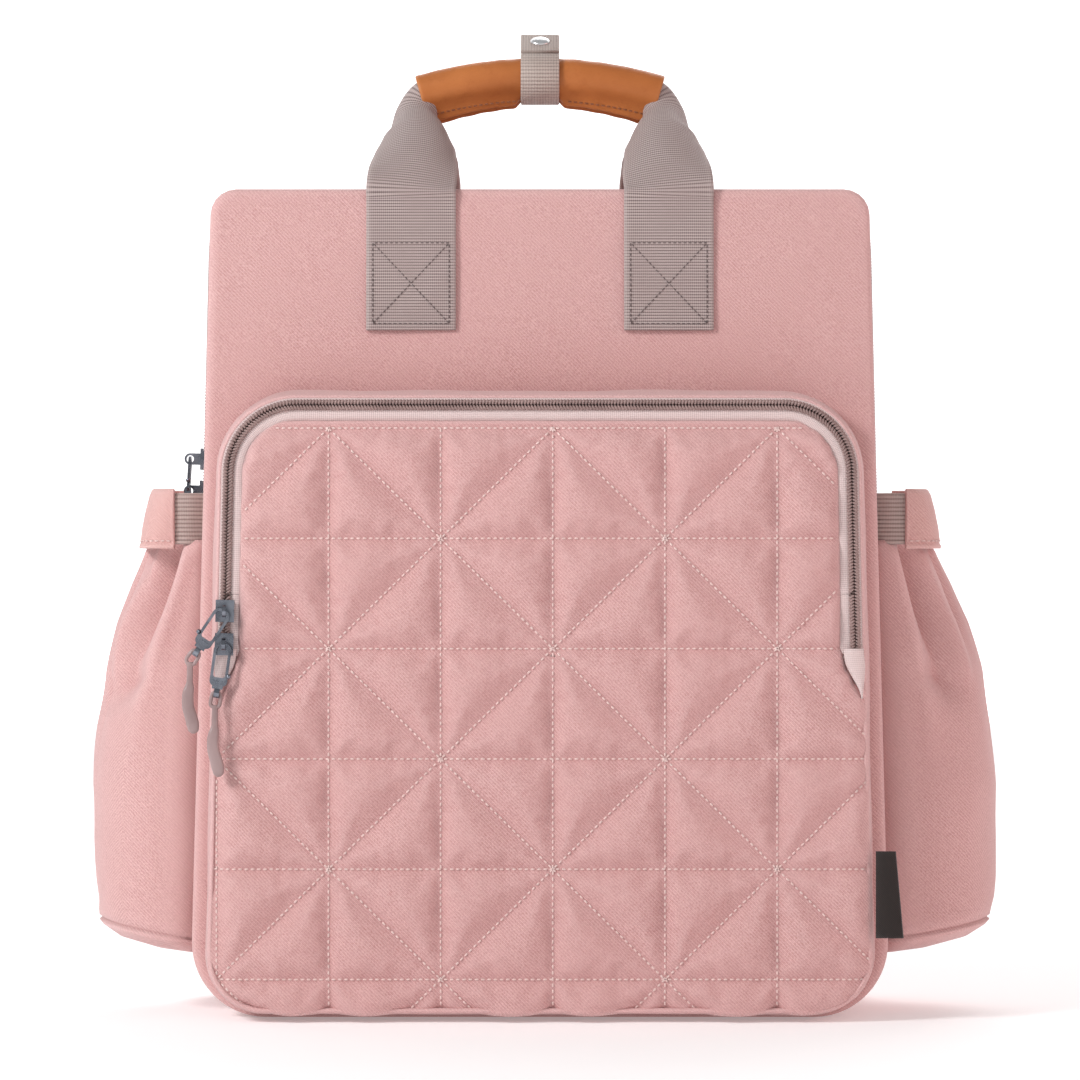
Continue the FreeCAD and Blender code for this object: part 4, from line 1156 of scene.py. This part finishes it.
def make_snap():
    """The webbing loop that holds the grips together, its free end and the press stud."""
    low, high = mm_box("snap_loop")
    mid_z, half = (low[2] + high[2]) / 2, (high[0] - low[0]) / 2
    radius = (high[2] - low[2]) / 2 - WEB_T
    y0, y1 = low[1] + radius + WEB_T, high[1] - radius - WEB_T
    path = []
    for centre, start in ((y1, -90), (y0, 90)):
        for angle in np.radians(np.linspace(start, start + 180, 19)):
            out = (math.cos(angle), math.sin(angle))
            path.append((centre + radius * out[0], mid_z + radius * out[1], *out))
    even = divided(path, 2.0, closed=True)
    flat, out = even[:, :2], unit(even[:, 2:])
    points, normal = xyz(0, flat[:, 0], flat[:, 1]), xyz(0, out[:, 0], out[:, 1])
    loop = strip("snap_strap_loop", points, [1, 0, 0], normal, -half, half, WEB_T, "snap", closed=True)
    settle(loop, "front_handle", "snap_loop", fill=0.1)
    tilt = math.radians(24.0)
    pivot = np.array([0.0, MOUTH_MID - GRIP_OFFSET, mm_box("snap_tab")[0][2] - 0.2 * math.cos(tilt)])
    reach = np.linspace(-0.9, 20.6, 26)
    line = xyz(0, reach * math.cos(tilt), reach * math.sin(tilt))
    up = np.array([0.0, -math.sin(tilt), math.cos(tilt)])
    line = line + pivot + np.outer(0.25 - 0.45 * ease(reach, 2.2, -0.6), up)
    tab = strip("snap_strap_end", line, [1, 0, 0], up, -half, half, WEB_T - 0.1, "snap")
    settle(tab, "snap_end", "snap_tab", fill=0.1)
    centre = pivot + np.array([0, 10.2 * math.cos(tilt), 10.2 * math.sin(tilt)])
    dome = [(0.01, 1.75), (1.6, 1.68), (3.0, 1.4), (4.1, 0.9), (4.6, 0.3), (4.6, 0.0), (3.8, -0.1),
            (0.01, -0.1)]
    socket = [(0.01, 0.0), (2.4, 0.0), (2.4, -0.9), (1.7, -1.1), (1.5, -0.6), (0.01, -0.6)]
    cap = turned(dome, centre + up * (WEB_T + 0.2), up, "cap")
    under = turned(socket, centre + up * 0.15, up, "under")
    settle(joined("press_stud_cap", [cap, under]), "snap_end", "snap_stud")


def turned(profile, centre, axis, name, sides=28):
    """A lathe shape: profile points as (radius, height) about an axis through a centre."""
    axis = unit(np.array(axis, float))
    side = unit(np.cross(axis, [1.0, 0.2, 0.1]))
    other = np.cross(axis, side)
    turns = np.linspace(0, 2 * math.pi, sides, endpoint=False)
    rings = [[centre + axis * h + (side * math.cos(t) + other * math.sin(t)) * r for t in turns]
             for r, h in profile]
    return loft(name, np.array(rings), "silver")


# ---- side pockets -------------------------------------------------------------------------------
POUCH_FRONT_Y, POUCH_BACK_Y = -44.5, 56.5
POUCH_NECK = 184.0
CASING_LOW, CASING_HIGH = 214.0, 242.0


def pouch_reach(z, full):
    """How far out the side pocket's skin stands at a height: gathered at the top, full below."""
    heights = [27, 42, 60, 80, 104, 133, 158, 180, 198, 212, 218]
    share = [0.88, 0.91, 0.965, 1.0, 1.0, 0.93, 0.79, 0.56, 0.3, 0.05, 0.0]
    return POUCH_NECK + (full - POUCH_NECK) * np.interp(z, heights, share)


def seat_at(z):
    """Half the body's width at a height."""
    return HALF_BASE + (HALF_TOP - HALF_BASE) * np.asarray(z) / HEIGHT


def pouch_folds(u, a, z, slant, phase):
    """How far folds push the skin in (below 0) or out: a slanting hollow, ridges, a dent and gathers."""
    fade = ease(z, 132, 186)
    middle = 0.5 + slant * np.clip(213 - z, 0, 70) / 53
    hollow = -11.0 * fade * np.exp(-(np.abs(u - middle) / 0.115) ** 1.6)
    ridge = 3.4 * ease(z, 100, 188) * np.exp(-((u - middle + 0.24) / 0.09) ** 2)
    ridge = ridge + 2.6 * ease(z, 120, 180) * np.exp(-((u - middle - 0.2) / 0.08) ** 2)
    dent = -5.5 * np.exp(-(np.abs(z - 154 + 16 * (u - 0.6)) / 8) ** 1.5 - ((u - middle + 0.06) / 0.2) ** 2)
    gather = np.exp(-np.clip(213 - z, 0, None) / 40.0) * ease(a, 0.14, 0.3) * ease(a, 0.86, 0.7)
    lean = (a - 0.5) * (0.22 * ease(z, 212, 120)) + 0.05 * ripple(a * 60, z, 90.0, phase)
    pleats = np.abs(np.cos(math.pi * 6.5 * (a - lean) + phase))
    slack = 1.3 * ripple(a * 120, z, 44.0, phase) * ease(u, 0.0, 0.25)
    folds = (hollow + ridge + dent) * ease(u, 0.0, 0.12) * ease(u, 1.0, 0.88)
    return folds - 6.0 * gather * (1 - pleats ** 0.8) + slack


def side_pouch(name, sign, full, slant, phase):
    """A slack pocket gathered into its casing, with a creased and boxed bottom."""
    cols = 111
    bottom = [(31.0, -0.05, 0.80), (28.0, 0.2, 0.82), (29.5, 0.5, 0.85), (34.0, 0.82, 0.9),
              (39.0, 0.965, 0.97), (41.0, 0.995, 0.996), (42.2, 0.96, 0.966), (43.4, 0.996, 0.996),
              (46.0, 1.0, 1.0)]
    side = [(height, 1.0, 1.0) for height in np.linspace(49, 212.5, 66)]
    neck = [(215.0, 0.97, 0.99), (218.0, 0.9, 0.975)]
    z, wide, deep = (np.array(values)[:, None] for values in zip(*(bottom + side + neck)))
    a = np.linspace(0, 1, cols)[None, :]
    power = 0.36 + 0.16 * ease(z, 150, 214)
    u = np.sin(math.pi * a) ** power
    seat = seat_at(z) - 0.8
    x = seat + (pouch_reach(z, full) - seat) * u * wide
    middle = (POUCH_FRONT_Y + POUCH_BACK_Y) / 2
    y = middle + (POUCH_BACK_Y - POUCH_FRONT_Y) * (a - 0.5) * deep
    along = np.stack([np.gradient(x, axis=1), np.gradient(y, axis=1)], axis=2)
    out = unit(np.stack([along[:, :, 1], -along[:, :, 0]], axis=2))
    push = pouch_folds(u, a, z, slant, phase) * ease(z, 44, 52) * ease(z, 219, 211)
    x, y = x + out[:, :, 0] * push, y + out[:, :, 1] * push
    z = z - 8.0 * (1 - u) * ease(z, 72, 44) * ease(z, 27, 40)
    grid = xyz(sign * x, y, z)
    faces = grid_faces(*grid.shape[:2])
    if sign < 0:
        faces = [f[::-1] for f in faces]
    return thicken(add_mesh(name, grid.reshape(-1, 3), faces, "body"), 1.8)


def casing_run(sign, z, inset):
    """The gathered top's path from the front of the bag round to the back, at one height."""
    seat = float(seat_at(z))
    reach = POUCH_NECK - 6.0 * (z - CASING_LOW) / (CASING_HIGH - CASING_LOW) - inset
    half = [(seat + 0.3, 5.0), (seat + 7, 0.8 + inset), (168.0, 1.2 + inset), (reach - 5, 4.5 + inset),
            (reach - 0.6, 12.0), (reach, 24.0)]
    front = [(x, POUCH_FRONT_Y + y) for x, y in half]
    back = [(x, POUCH_BACK_Y - y) for x, y in reversed(half)]
    return curve_through([(sign * x, y) for x, y in front + [(reach, 6.0)] + back], 141)


def casing_band(name, sign, low, high, inset, thick, look, keep):
    """A band round the pocket's top between two heights. keep picks the part of its run that it covers."""
    lower, upper = casing_run(sign, low, inset), casing_run(sign, high, inset)
    middle = (lower + upper) / 2
    chosen = keep(np.abs(middle[:, 0]), middle[:, 1])
    lower, upper, middle = lower[chosen], upper[chosen], middle[chosen]
    count = len(middle)
    along = unit(np.gradient(middle, axis=0))
    normal = xyz(along[:, 1], -along[:, 0], 0) * sign
    distance = run_length(middle)
    wrinkle = 0.4 * ripple(distance, 0 * distance, 7.0, sign) * (look == "casing")
    section = [(0.0, 0.2), (0.0, 0.8), (0.05, 1.0), (0.09, 0.8), (0.15, 0.95), (0.35, 1.2), (0.65, 1.25),
               (0.9, 1.1), (0.98, 0.8), (1.0, 0.4), (0.97, 0.05), (0.5, 0.0), (0.04, 0.0)]
    rings = []
    for share, off in section:
        flat = lower + (upper - lower) * share
        at = np.column_stack([flat, np.full(count, low + (high - low) * share)])
        rings.append(at + normal * (off * thick + wrinkle * (off > 0.9))[:, None])
    uvs = run_uvs([share * (high - low) for share, off in section], distance)
    return loft(name, np.stack(rings, axis=1), look, uvs)


def casing_seam(sign, thick):
    """The stitched line along the bottom of a casing."""
    z = CASING_LOW + 3.6
    run = casing_run(sign, z, 0.4)
    along = unit(np.gradient(run, axis=0))
    run = run + np.stack([along[:, 1], -along[:, 0]], axis=1) * sign * (thick + 0.15)
    run = run[np.abs(run[:, 0]) > 169.0]
    return np.column_stack([run, np.full(len(run), z)])


def make_side_pockets():
    casings, elastics, lines = [], [], []
    for name, sign, full, slant, phase in (("right", -1, 208.6, 0.24, 0.4), ("left", 1, 213.4, 0.12, 2.1)):
        pouch = side_pouch("side_pouch_" + name, sign, full, slant, phase)
        settle(pouch, "bag", "side_pocket_" + name, fill=0.35)
        casings.append(casing_band("casing", sign, CASING_LOW, CASING_HIGH - 0.4, 0.4, 2.2, "casing",
                                   lambda x, y: x > 167.5))
        lines.append(casing_seam(sign, 2.2))
        for end in (-1, 1):
            elastics.append(casing_band("elastic", sign, CASING_LOW + 2, CASING_HIGH - 2.4, 1.4, 1.1,
                                        "elastic", lambda x, y: (x <= 169.5) & ((y - 6) * end > 0)))
    settle(seam("casing_stitches", lines, 0.34, pitch=2.9), "bag")
    settle(joined("pocket_casing_bands", casings), "bag", "pocket_casings", fill=0.3)
    settle(joined("pocket_elastic_bands", elastics), "bag", "pocket_elastics", fill=0.1)
    low, high = mm_box("pocket_stud")
    dome = [(0.01, 1.5), (2.5, 1.35), (4.2, 0.9), (5.2, 0.1), (5.2, -0.6), (0.01, -0.6)]
    stud = turned(dome, (low + high) / 2 + [-0.6, 0, 0], (-1, 0, 0.3), "pocket_press_stud")
    settle(stud, "bag", "pocket_stud")


# ---- the back -----------------------------------------------------------------------------------
def pad_channels(x, z):
    """How much of its height the back padding keeps, near one upright and two level sewn lines."""
    near = np.minimum(np.abs(x), np.minimum(np.abs(z - 140), np.abs(z - 232)))
    return 0.42 + 0.58 * (1 - np.exp(-(near / 6.5) ** 2))


def make_back_pad():
    """A flat pad with round edges on the back panel, and the piping round it."""
    low, high = mm_box("back_pad")
    thick = 6.6
    corners = [(low[0], low[2]), (high[0], low[2]), (high[0], high[2]), (low[0], high[2])]
    outline = rounded_outline(corners, [26, 26, 20, 20], 2.4)[0]
    centre = outline.mean(axis=0)
    rows = []
    for share, rise in ((1.0, 0.0), (1.012, 0.35), (1.0, 0.75)):
        x, z = (centre + (outline - centre) * share).T
        rows.append(xyz(x, back_y(z) + 0.6 + rise * thick * 0.5, z))
    for share in (0.985, 0.96, 0.92, *np.linspace(0.87, 0.02, 44)):
        x, z = (centre + (outline - centre) * share).T
        rise = thick * (0.62 + 0.38 * ease(1 - share, 0.0, 0.12))
        rows.append(xyz(x, back_y(z) + 0.6 + rise * pad_channels(x, z), z))
    grid = np.array(rows)
    sides = grid_faces(*grid.shape[:2], wrap_cols=True)
    faces = [face[::-1] for face in sides + caps(*grid.shape[:2])]
    settle(add_mesh("back_padding", grid.reshape(-1, 3), faces, "mesh"), "bag", "back_pad", fill=0.6)
    edge = xyz(outline[:, 0], back_y(outline[:, 1]) + 1.4, outline[:, 1])
    piping = tube("back_pad_piping", np.vstack([edge, edge[:1]]), 1.5, "body", closed=True)
    settle(piping, "bag", fill=0.9)


def strap_line():
    """Middle line of the left shoulder strap from its top end to its buckle end, and its half widths."""
    low, high = mm_box("shoulder_strap_left")
    top, bottom = high[2], low[2]
    z = np.linspace(top - 0.6, bottom + 0.6, 60)
    share = (top - z) / (top - bottom)
    middle = 49 + 47 * share ** 1.1 - 5 * np.sin(math.pi * share)
    half = 32.5 - 10.5 * ease(share, 0.0, 0.5) + 1.5 * ease(share, 0.6, 0.85) - 6.0 * ease(share, 0.93, 1.0)
    inside = 84.5 + 14.0 * np.sin(math.pi * share)
    return xyz(middle, inside, z), half


def shoulder_strap(name, sign):
    path, half = strap_line()
    tangent = unit(np.gradient(path, axis=0))
    across = np.array([1.0, 0, 0])
    normal = unit(np.cross(across, tangent))
    normal *= np.sign(normal[:, 1:2])
    ends = ease(np.arange(len(path)), 0, 3) * ease(np.arange(len(path))[::-1], 0, 3)
    thick = 10.6 * (0.55 + 0.45 * ends)
    section = []
    for t in np.linspace(0, 2 * math.pi, 36, endpoint=False):
        a, h = math.cos(t), math.sin(t)
        section.append((math.copysign(abs(a) ** 0.35, a), 0.5 + 0.5 * math.copysign(abs(h) ** 0.6, h)))

    def line(a, h):
        """A line along the strap, at shares of its half width and its thickness."""
        return (path + across * (half * a)[:, None] + normal * (thick * h)[:, None]) * [sign, 1, 1]

    rings = np.stack([line(a, h) for a, h in section], axis=1)
    if sign < 0:
        rings = rings[:, ::-1]
    strap = loft(name, rings, "body")
    edges = [tube("edge", line(way * 0.985, 0.5)[1:-1], 1.5, "webbing") for way in (-1, 1)]
    binding = joined(name + "_binding", edges)
    row = seam(name + "_stitches", [line(way * 0.84, 0.985)[2:-2] for way in (-1, 1)], 0.34)
    return strap, binding, row


def make_straps():
    for name, sign in (("left", 1), ("right", -1)):
        strap, binding, row = shoulder_strap("padded_strap_" + name, sign)
        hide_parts("shoulder_strap_" + name)
        for piece in (strap, binding, row):
            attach(piece, name + "_strap")
        low, high = mm_box("strap_webbing_" + name)
        z = np.linspace(low[2], high[2], 30)
        share = (z - low[2]) / (high[2] - low[2])
        x = sign * (133.5 + (95.0 - 133.5) * share)
        path = xyz(x, low[1], z)
        along = unit(path[-1] - path[0])
        across = np.array([along[2], 0, -along[0]])
        web = strip("lower_webbing_" + name, path, across, [0, 1, 0], -11.6, 11.6, 1.7, "webbing")
        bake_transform(web)
        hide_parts("strap_webbing_" + name)


def make_yoke():
    """The padded bar across the back that the straps are sewn into."""
    low, high = mm_box("strap_yoke")
    x = np.linspace(low[0], high[0], 60)
    z0, z1, outside = low[2], high[2], high[1]
    near_low, near_high = float(back_y(z0)), float(back_y(z1))
    section = [(near_low + 0.4, z0), (outside - 2.5, z0 + 0.2), (outside - 0.5, z0 + 1.6),
               (outside - 0.8, z0 + 4), (near_high + 14, z1 - 6), (near_high + 6, z1 - 1.4),
               (near_high + 2.5, z1 - 0.2), (near_high + 0.4, z1)]
    rings = np.stack([xyz(x, y, z) for y, z in section], axis=1)
    swell = np.sin(math.pi * np.linspace(0, 1, 60)) ** 0.3
    rings[:, 3:6, 1] -= (1.6 * (1 - swell))[:, None]
    rings[:, 2:6, 1] += 0.4 * ripple(x, 0 * x, 19.0, 1.0)[:, None]
    settle(loft("strap_yoke_cover", rings, "body"), "bag", "strap_yoke", fill=0.5)
    lines = [[(low[0] + 4, y, z), (high[0] - 4, y, z)]
             for y, z in ((outside - 3.6, z0 + 5.9), (near_high + 11.8, z1 - 4.6))]
    settle(seam("yoke_stitches", lines, 0.34), "bag")


def make_anchors():
    """Folded fabric wedges that hold the lower webbing."""
    low, high = mm_box("strap_anchors")
    outside = high[1]
    section = [(float(back_y(27)) + 0.5, 26.5), (outside - 4, 38), (outside - 0.8, 42.5),
               (outside - 0.3, 47), (outside - 1, 50.8), (outside - 4.5, 51),
               (float(back_y(53)) + 3, 53), (float(back_y(54)) + 0.4, 53.8)]
    pieces = []
    for sign in (-1, 1):
        x = sign * np.linspace(119.2, 147.8, 14)
        rings = np.stack([xyz(x, y, z) for y, z in section], axis=1)
        pieces.append(loft("wedge", rings if sign > 0 else rings[:, ::-1], "body"))
    settle(joined("webbing_anchors", pieces), "bag", "strap_anchors", fill=0.5)


# ---- small parts --------------------------------------------------------------------------------
def make_label():
    """A plain folded satin label in the pocket's side seam."""
    low, high = mm_box("side_label")
    seam = 151.5
    z = np.linspace(low[2] + 0.4, high[2] - 0.4, 12)
    share = (z - low[2]) / (high[2] - low[2])
    out = 12.6 - 3.6 * share
    rings = []
    for s, h in ((0.0, -0.5), (0.5, -0.75), (0.95, -0.6), (1.0, 0.0), (0.95, 0.6), (0.5, 0.5), (0.0, 0.5)):
        bend = 0.5 * math.sin(2.2 * s)
        rings.append(xyz(seam + out * s, low[1] + 0.9 + h - bend * 0.4, z))
    settle(loft("side_seam_label", np.stack(rings, axis=1), "label"), "bag", "side_label", fill=0.0)


def pull_places():
    """Each pull's name, the eye that its tail hangs from, its sideways lean, and its zip's own axes."""
    up = unit([seat_at(0) - seat_at(HEIGHT), 0, HEIGHT])
    front_axes = np.eye(3)
    side_axes = np.array([[0.0, -1, 0], [up[2], 0, -up[0]], up])
    places = []
    for name, axes, z, lean in (("front_lower", front_axes, 171, 8), ("front_upper", front_axes, 186, 34),
                                ("main_lower", side_axes, 241, 6), ("main_upper", side_axes, 256, -30)):
        lean = math.radians(lean)
        low, high = mm_box("slider_" + name)
        if name.startswith("front"):
            bail = np.array([-outline_half_width(z, COIL_INSET), low[1] + 2.7, z])
        else:
            bail = np.array([low[0] + 2.7, MOUTH_MID, z])
        eye = bail + CLASP_L * (-math.sin(lean) * axes[0] - math.cos(lean) * axes[2])
        places.append((name, eye, lean, axes))
    return places


def pull_tail(name, eye, lean, axes):
    """A thin loop through the clasp's eye and a flat S-shaped rubber grip."""
    hang = np.array([-math.sin(lean), 0, -math.cos(lean)])
    cross = np.array([math.cos(lean), 0, -math.sin(lean)])
    loop_shape = [(0.0, 7.0), (-1.9, 5.6), (-2.1, 3.0), (-1.7, 0.6), (0.0, -0.2), (1.7, 0.6), (2.1, 3.0),
                  (1.9, 5.6), (0.0, 7.0)]
    bend = [hang * reach + cross * aside for aside, reach in loop_shape]
    loop = tube("loop", eye + curve_through(bend, 60) @ axes, 0.85, "rubber")
    start = hang * 5.6
    spine = curve_through([(0, 0), (0, -6), (-0.2, -11), (-0.9, -15), (-0.8, -20), (0.6, -25), (1.5, -29),
                           (1.6, -32.2)], 46)
    drop = -spine[:, 1]
    half = np.interp(drop, [0, 9, 12, 15, 22, 28, 31, 32.2], [1.35, 1.4, 2.3, 2.6, 2.75, 2.9, 2.3, 0.9])
    deep = np.interp(drop, [0, 9, 13, 28, 31, 32.2], [0.95, 1.0, 1.6, 1.7, 1.3, 0.5])
    tangent = unit(np.gradient(spine, axis=0))
    aside = np.stack([-tangent[:, 1], tangent[:, 0]], axis=1)
    rings = []
    for turn in np.linspace(0, 2 * math.pi, 16, endpoint=False):
        wide = math.copysign(abs(math.cos(turn)) ** 0.7, math.cos(turn))
        out = math.copysign(abs(math.sin(turn)) ** 0.7, math.sin(turn))
        flat = spine + aside * (half * wide)[:, None]
        rings.append(np.column_stack([flat[:, 0], deep * out, flat[:, 1]]) + start)
    grip = loft("grip", eye + np.stack(rings, axis=1) @ axes, "rubber")
    return joined("pull_tail_" + name, [grip, loop])


def make_tails():
    for name, eye, lean, axes in pull_places():
        tail = pull_tail(name, eye, lean, axes)
        settle(tail, "grip_" + name, "tail_" + name)


def cad_looks():
    """Materials for the CAD nodes that stay: sliders, clasps, buckles and the base board."""
    chosen = {"slider_": "metal", "clasp_": "metal", "strap_buckle_": "plastic", "base_board": "board"}
    for name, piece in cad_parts.items():
        for start, look in chosen.items():
            if name.startswith(start):
                piece.data.materials.clear()
                piece.data.materials.append(LOOKS[look])


# ---- studio -------------------------------------------------------------------------------------
def placed(name, data):
    """A new object in the scene."""
    made = bpy.data.objects.new(name, data)
    bpy.context.scene.collection.objects.link(made)
    return made


def studio_sheet(name, corners, look, glow):
    """A large plain surface that is not part of the bag, glowing faintly white."""
    look.shader.inputs["Emission Color"].default_value = WHITE
    look.shader.inputs["Emission Strength"].default_value = glow
    mesh = bpy.data.meshes.new(name)
    mesh.from_pydata(corners, [], [(0, 1, 2, 3)])
    mesh.materials.append(look.material)
    placed(name, mesh)


WHITE = (1.0, 1.0, 1.0, 1.0)
WARM = (1.0, 0.42, 0.36)
FLOOR_GREY = (0.93, 0.93, 0.935, 1.0)
FLOOR_GLOW, BACKDROP_GLOW, SKY_STRENGTH = 0.19, 0.9, 0.4
CAMERA_PLACE, CAMERA_LENS = (0.0, -2.595, 0.218), 185.0     # metres, millimetres
LAMP_AIM = (0.0, 0.0, 0.2)
LAMPS = {                                                   # place, size, watts and colour
    "key": ((-1.5, -1.25, 1.3), 0.6, 30.0, WHITE[:3]),
    "fill": ((1.2, -2.4, 0.9), 1.6, 4.0, WHITE[:3]),
    "warm_side": ((1.9, -0.5, 0.5), 0.9, 6.0, WARM),
    "back": ((0.4, 1.9, 1.6), 1.4, 20.0, WHITE[:3]),
}
SHEET_HALF, SHEET_Y, SHEET_LOW, SHEET_HIGH = 6.0, 4.0, -1.0, 5.0


def make_studio():
    camera = placed("camera", bpy.data.cameras.new("camera"))
    camera.data.lens = CAMERA_LENS
    camera.data.sensor_width = 36.0
    camera.data.clip_end = 50.0
    camera.location = CAMERA_PLACE
    camera.rotation_euler = (math.pi / 2, 0, 0)
    bpy.context.scene.camera = camera
    world = bpy.data.worlds.new("studio")
    world.use_nodes = True
    background = world.node_tree.nodes["Background"]
    background.inputs["Color"].default_value = WHITE
    background.inputs["Strength"].default_value = SKY_STRENGTH
    bpy.context.scene.world = world
    for name, (place, size, power, tint) in LAMPS.items():
        light = bpy.data.lights.new(name, "AREA")
        light.size = size
        light.energy = power
        light.color = tint
        lamp = placed(name, light)
        lamp.location = place
        lamp.rotation_euler = (Vector(LAMP_AIM) - Vector(place)).to_track_quat("-Z", "Y").to_euler()
    floor_look = Look("studio_floor", roughness=0.9, specular=0.2)
    floor_look.colour(FLOOR_GREY)
    half = SHEET_HALF
    corners = [(-half, -half, 0), (half, -half, 0), (half, half, 0), (-half, half, 0)]
    studio_sheet("floor", corners, floor_look, FLOOR_GLOW)
    corners = [(-half, SHEET_Y, SHEET_LOW), (half, SHEET_Y, SHEET_LOW), (half, SHEET_Y, SHEET_HIGH),
               (-half, SHEET_Y, SHEET_HIGH)]
    studio_sheet("backdrop", corners, Look("studio_backdrop", roughness=0.9, specular=0.0), BACKDROP_GLOW)
    bpy.context.scene.view_settings.view_transform = "Standard"


make_studio()
make_body()
make_organiser()
make_pocket_band()
make_quilt()
make_pocket_zip()
make_tape_tails()
make_mouth()
make_side_zips()
make_handles()
make_snap()
make_side_pockets()
make_back_pad()
make_straps()
make_yoke()
make_anchors()
make_label()
make_tails()
cad_looks()
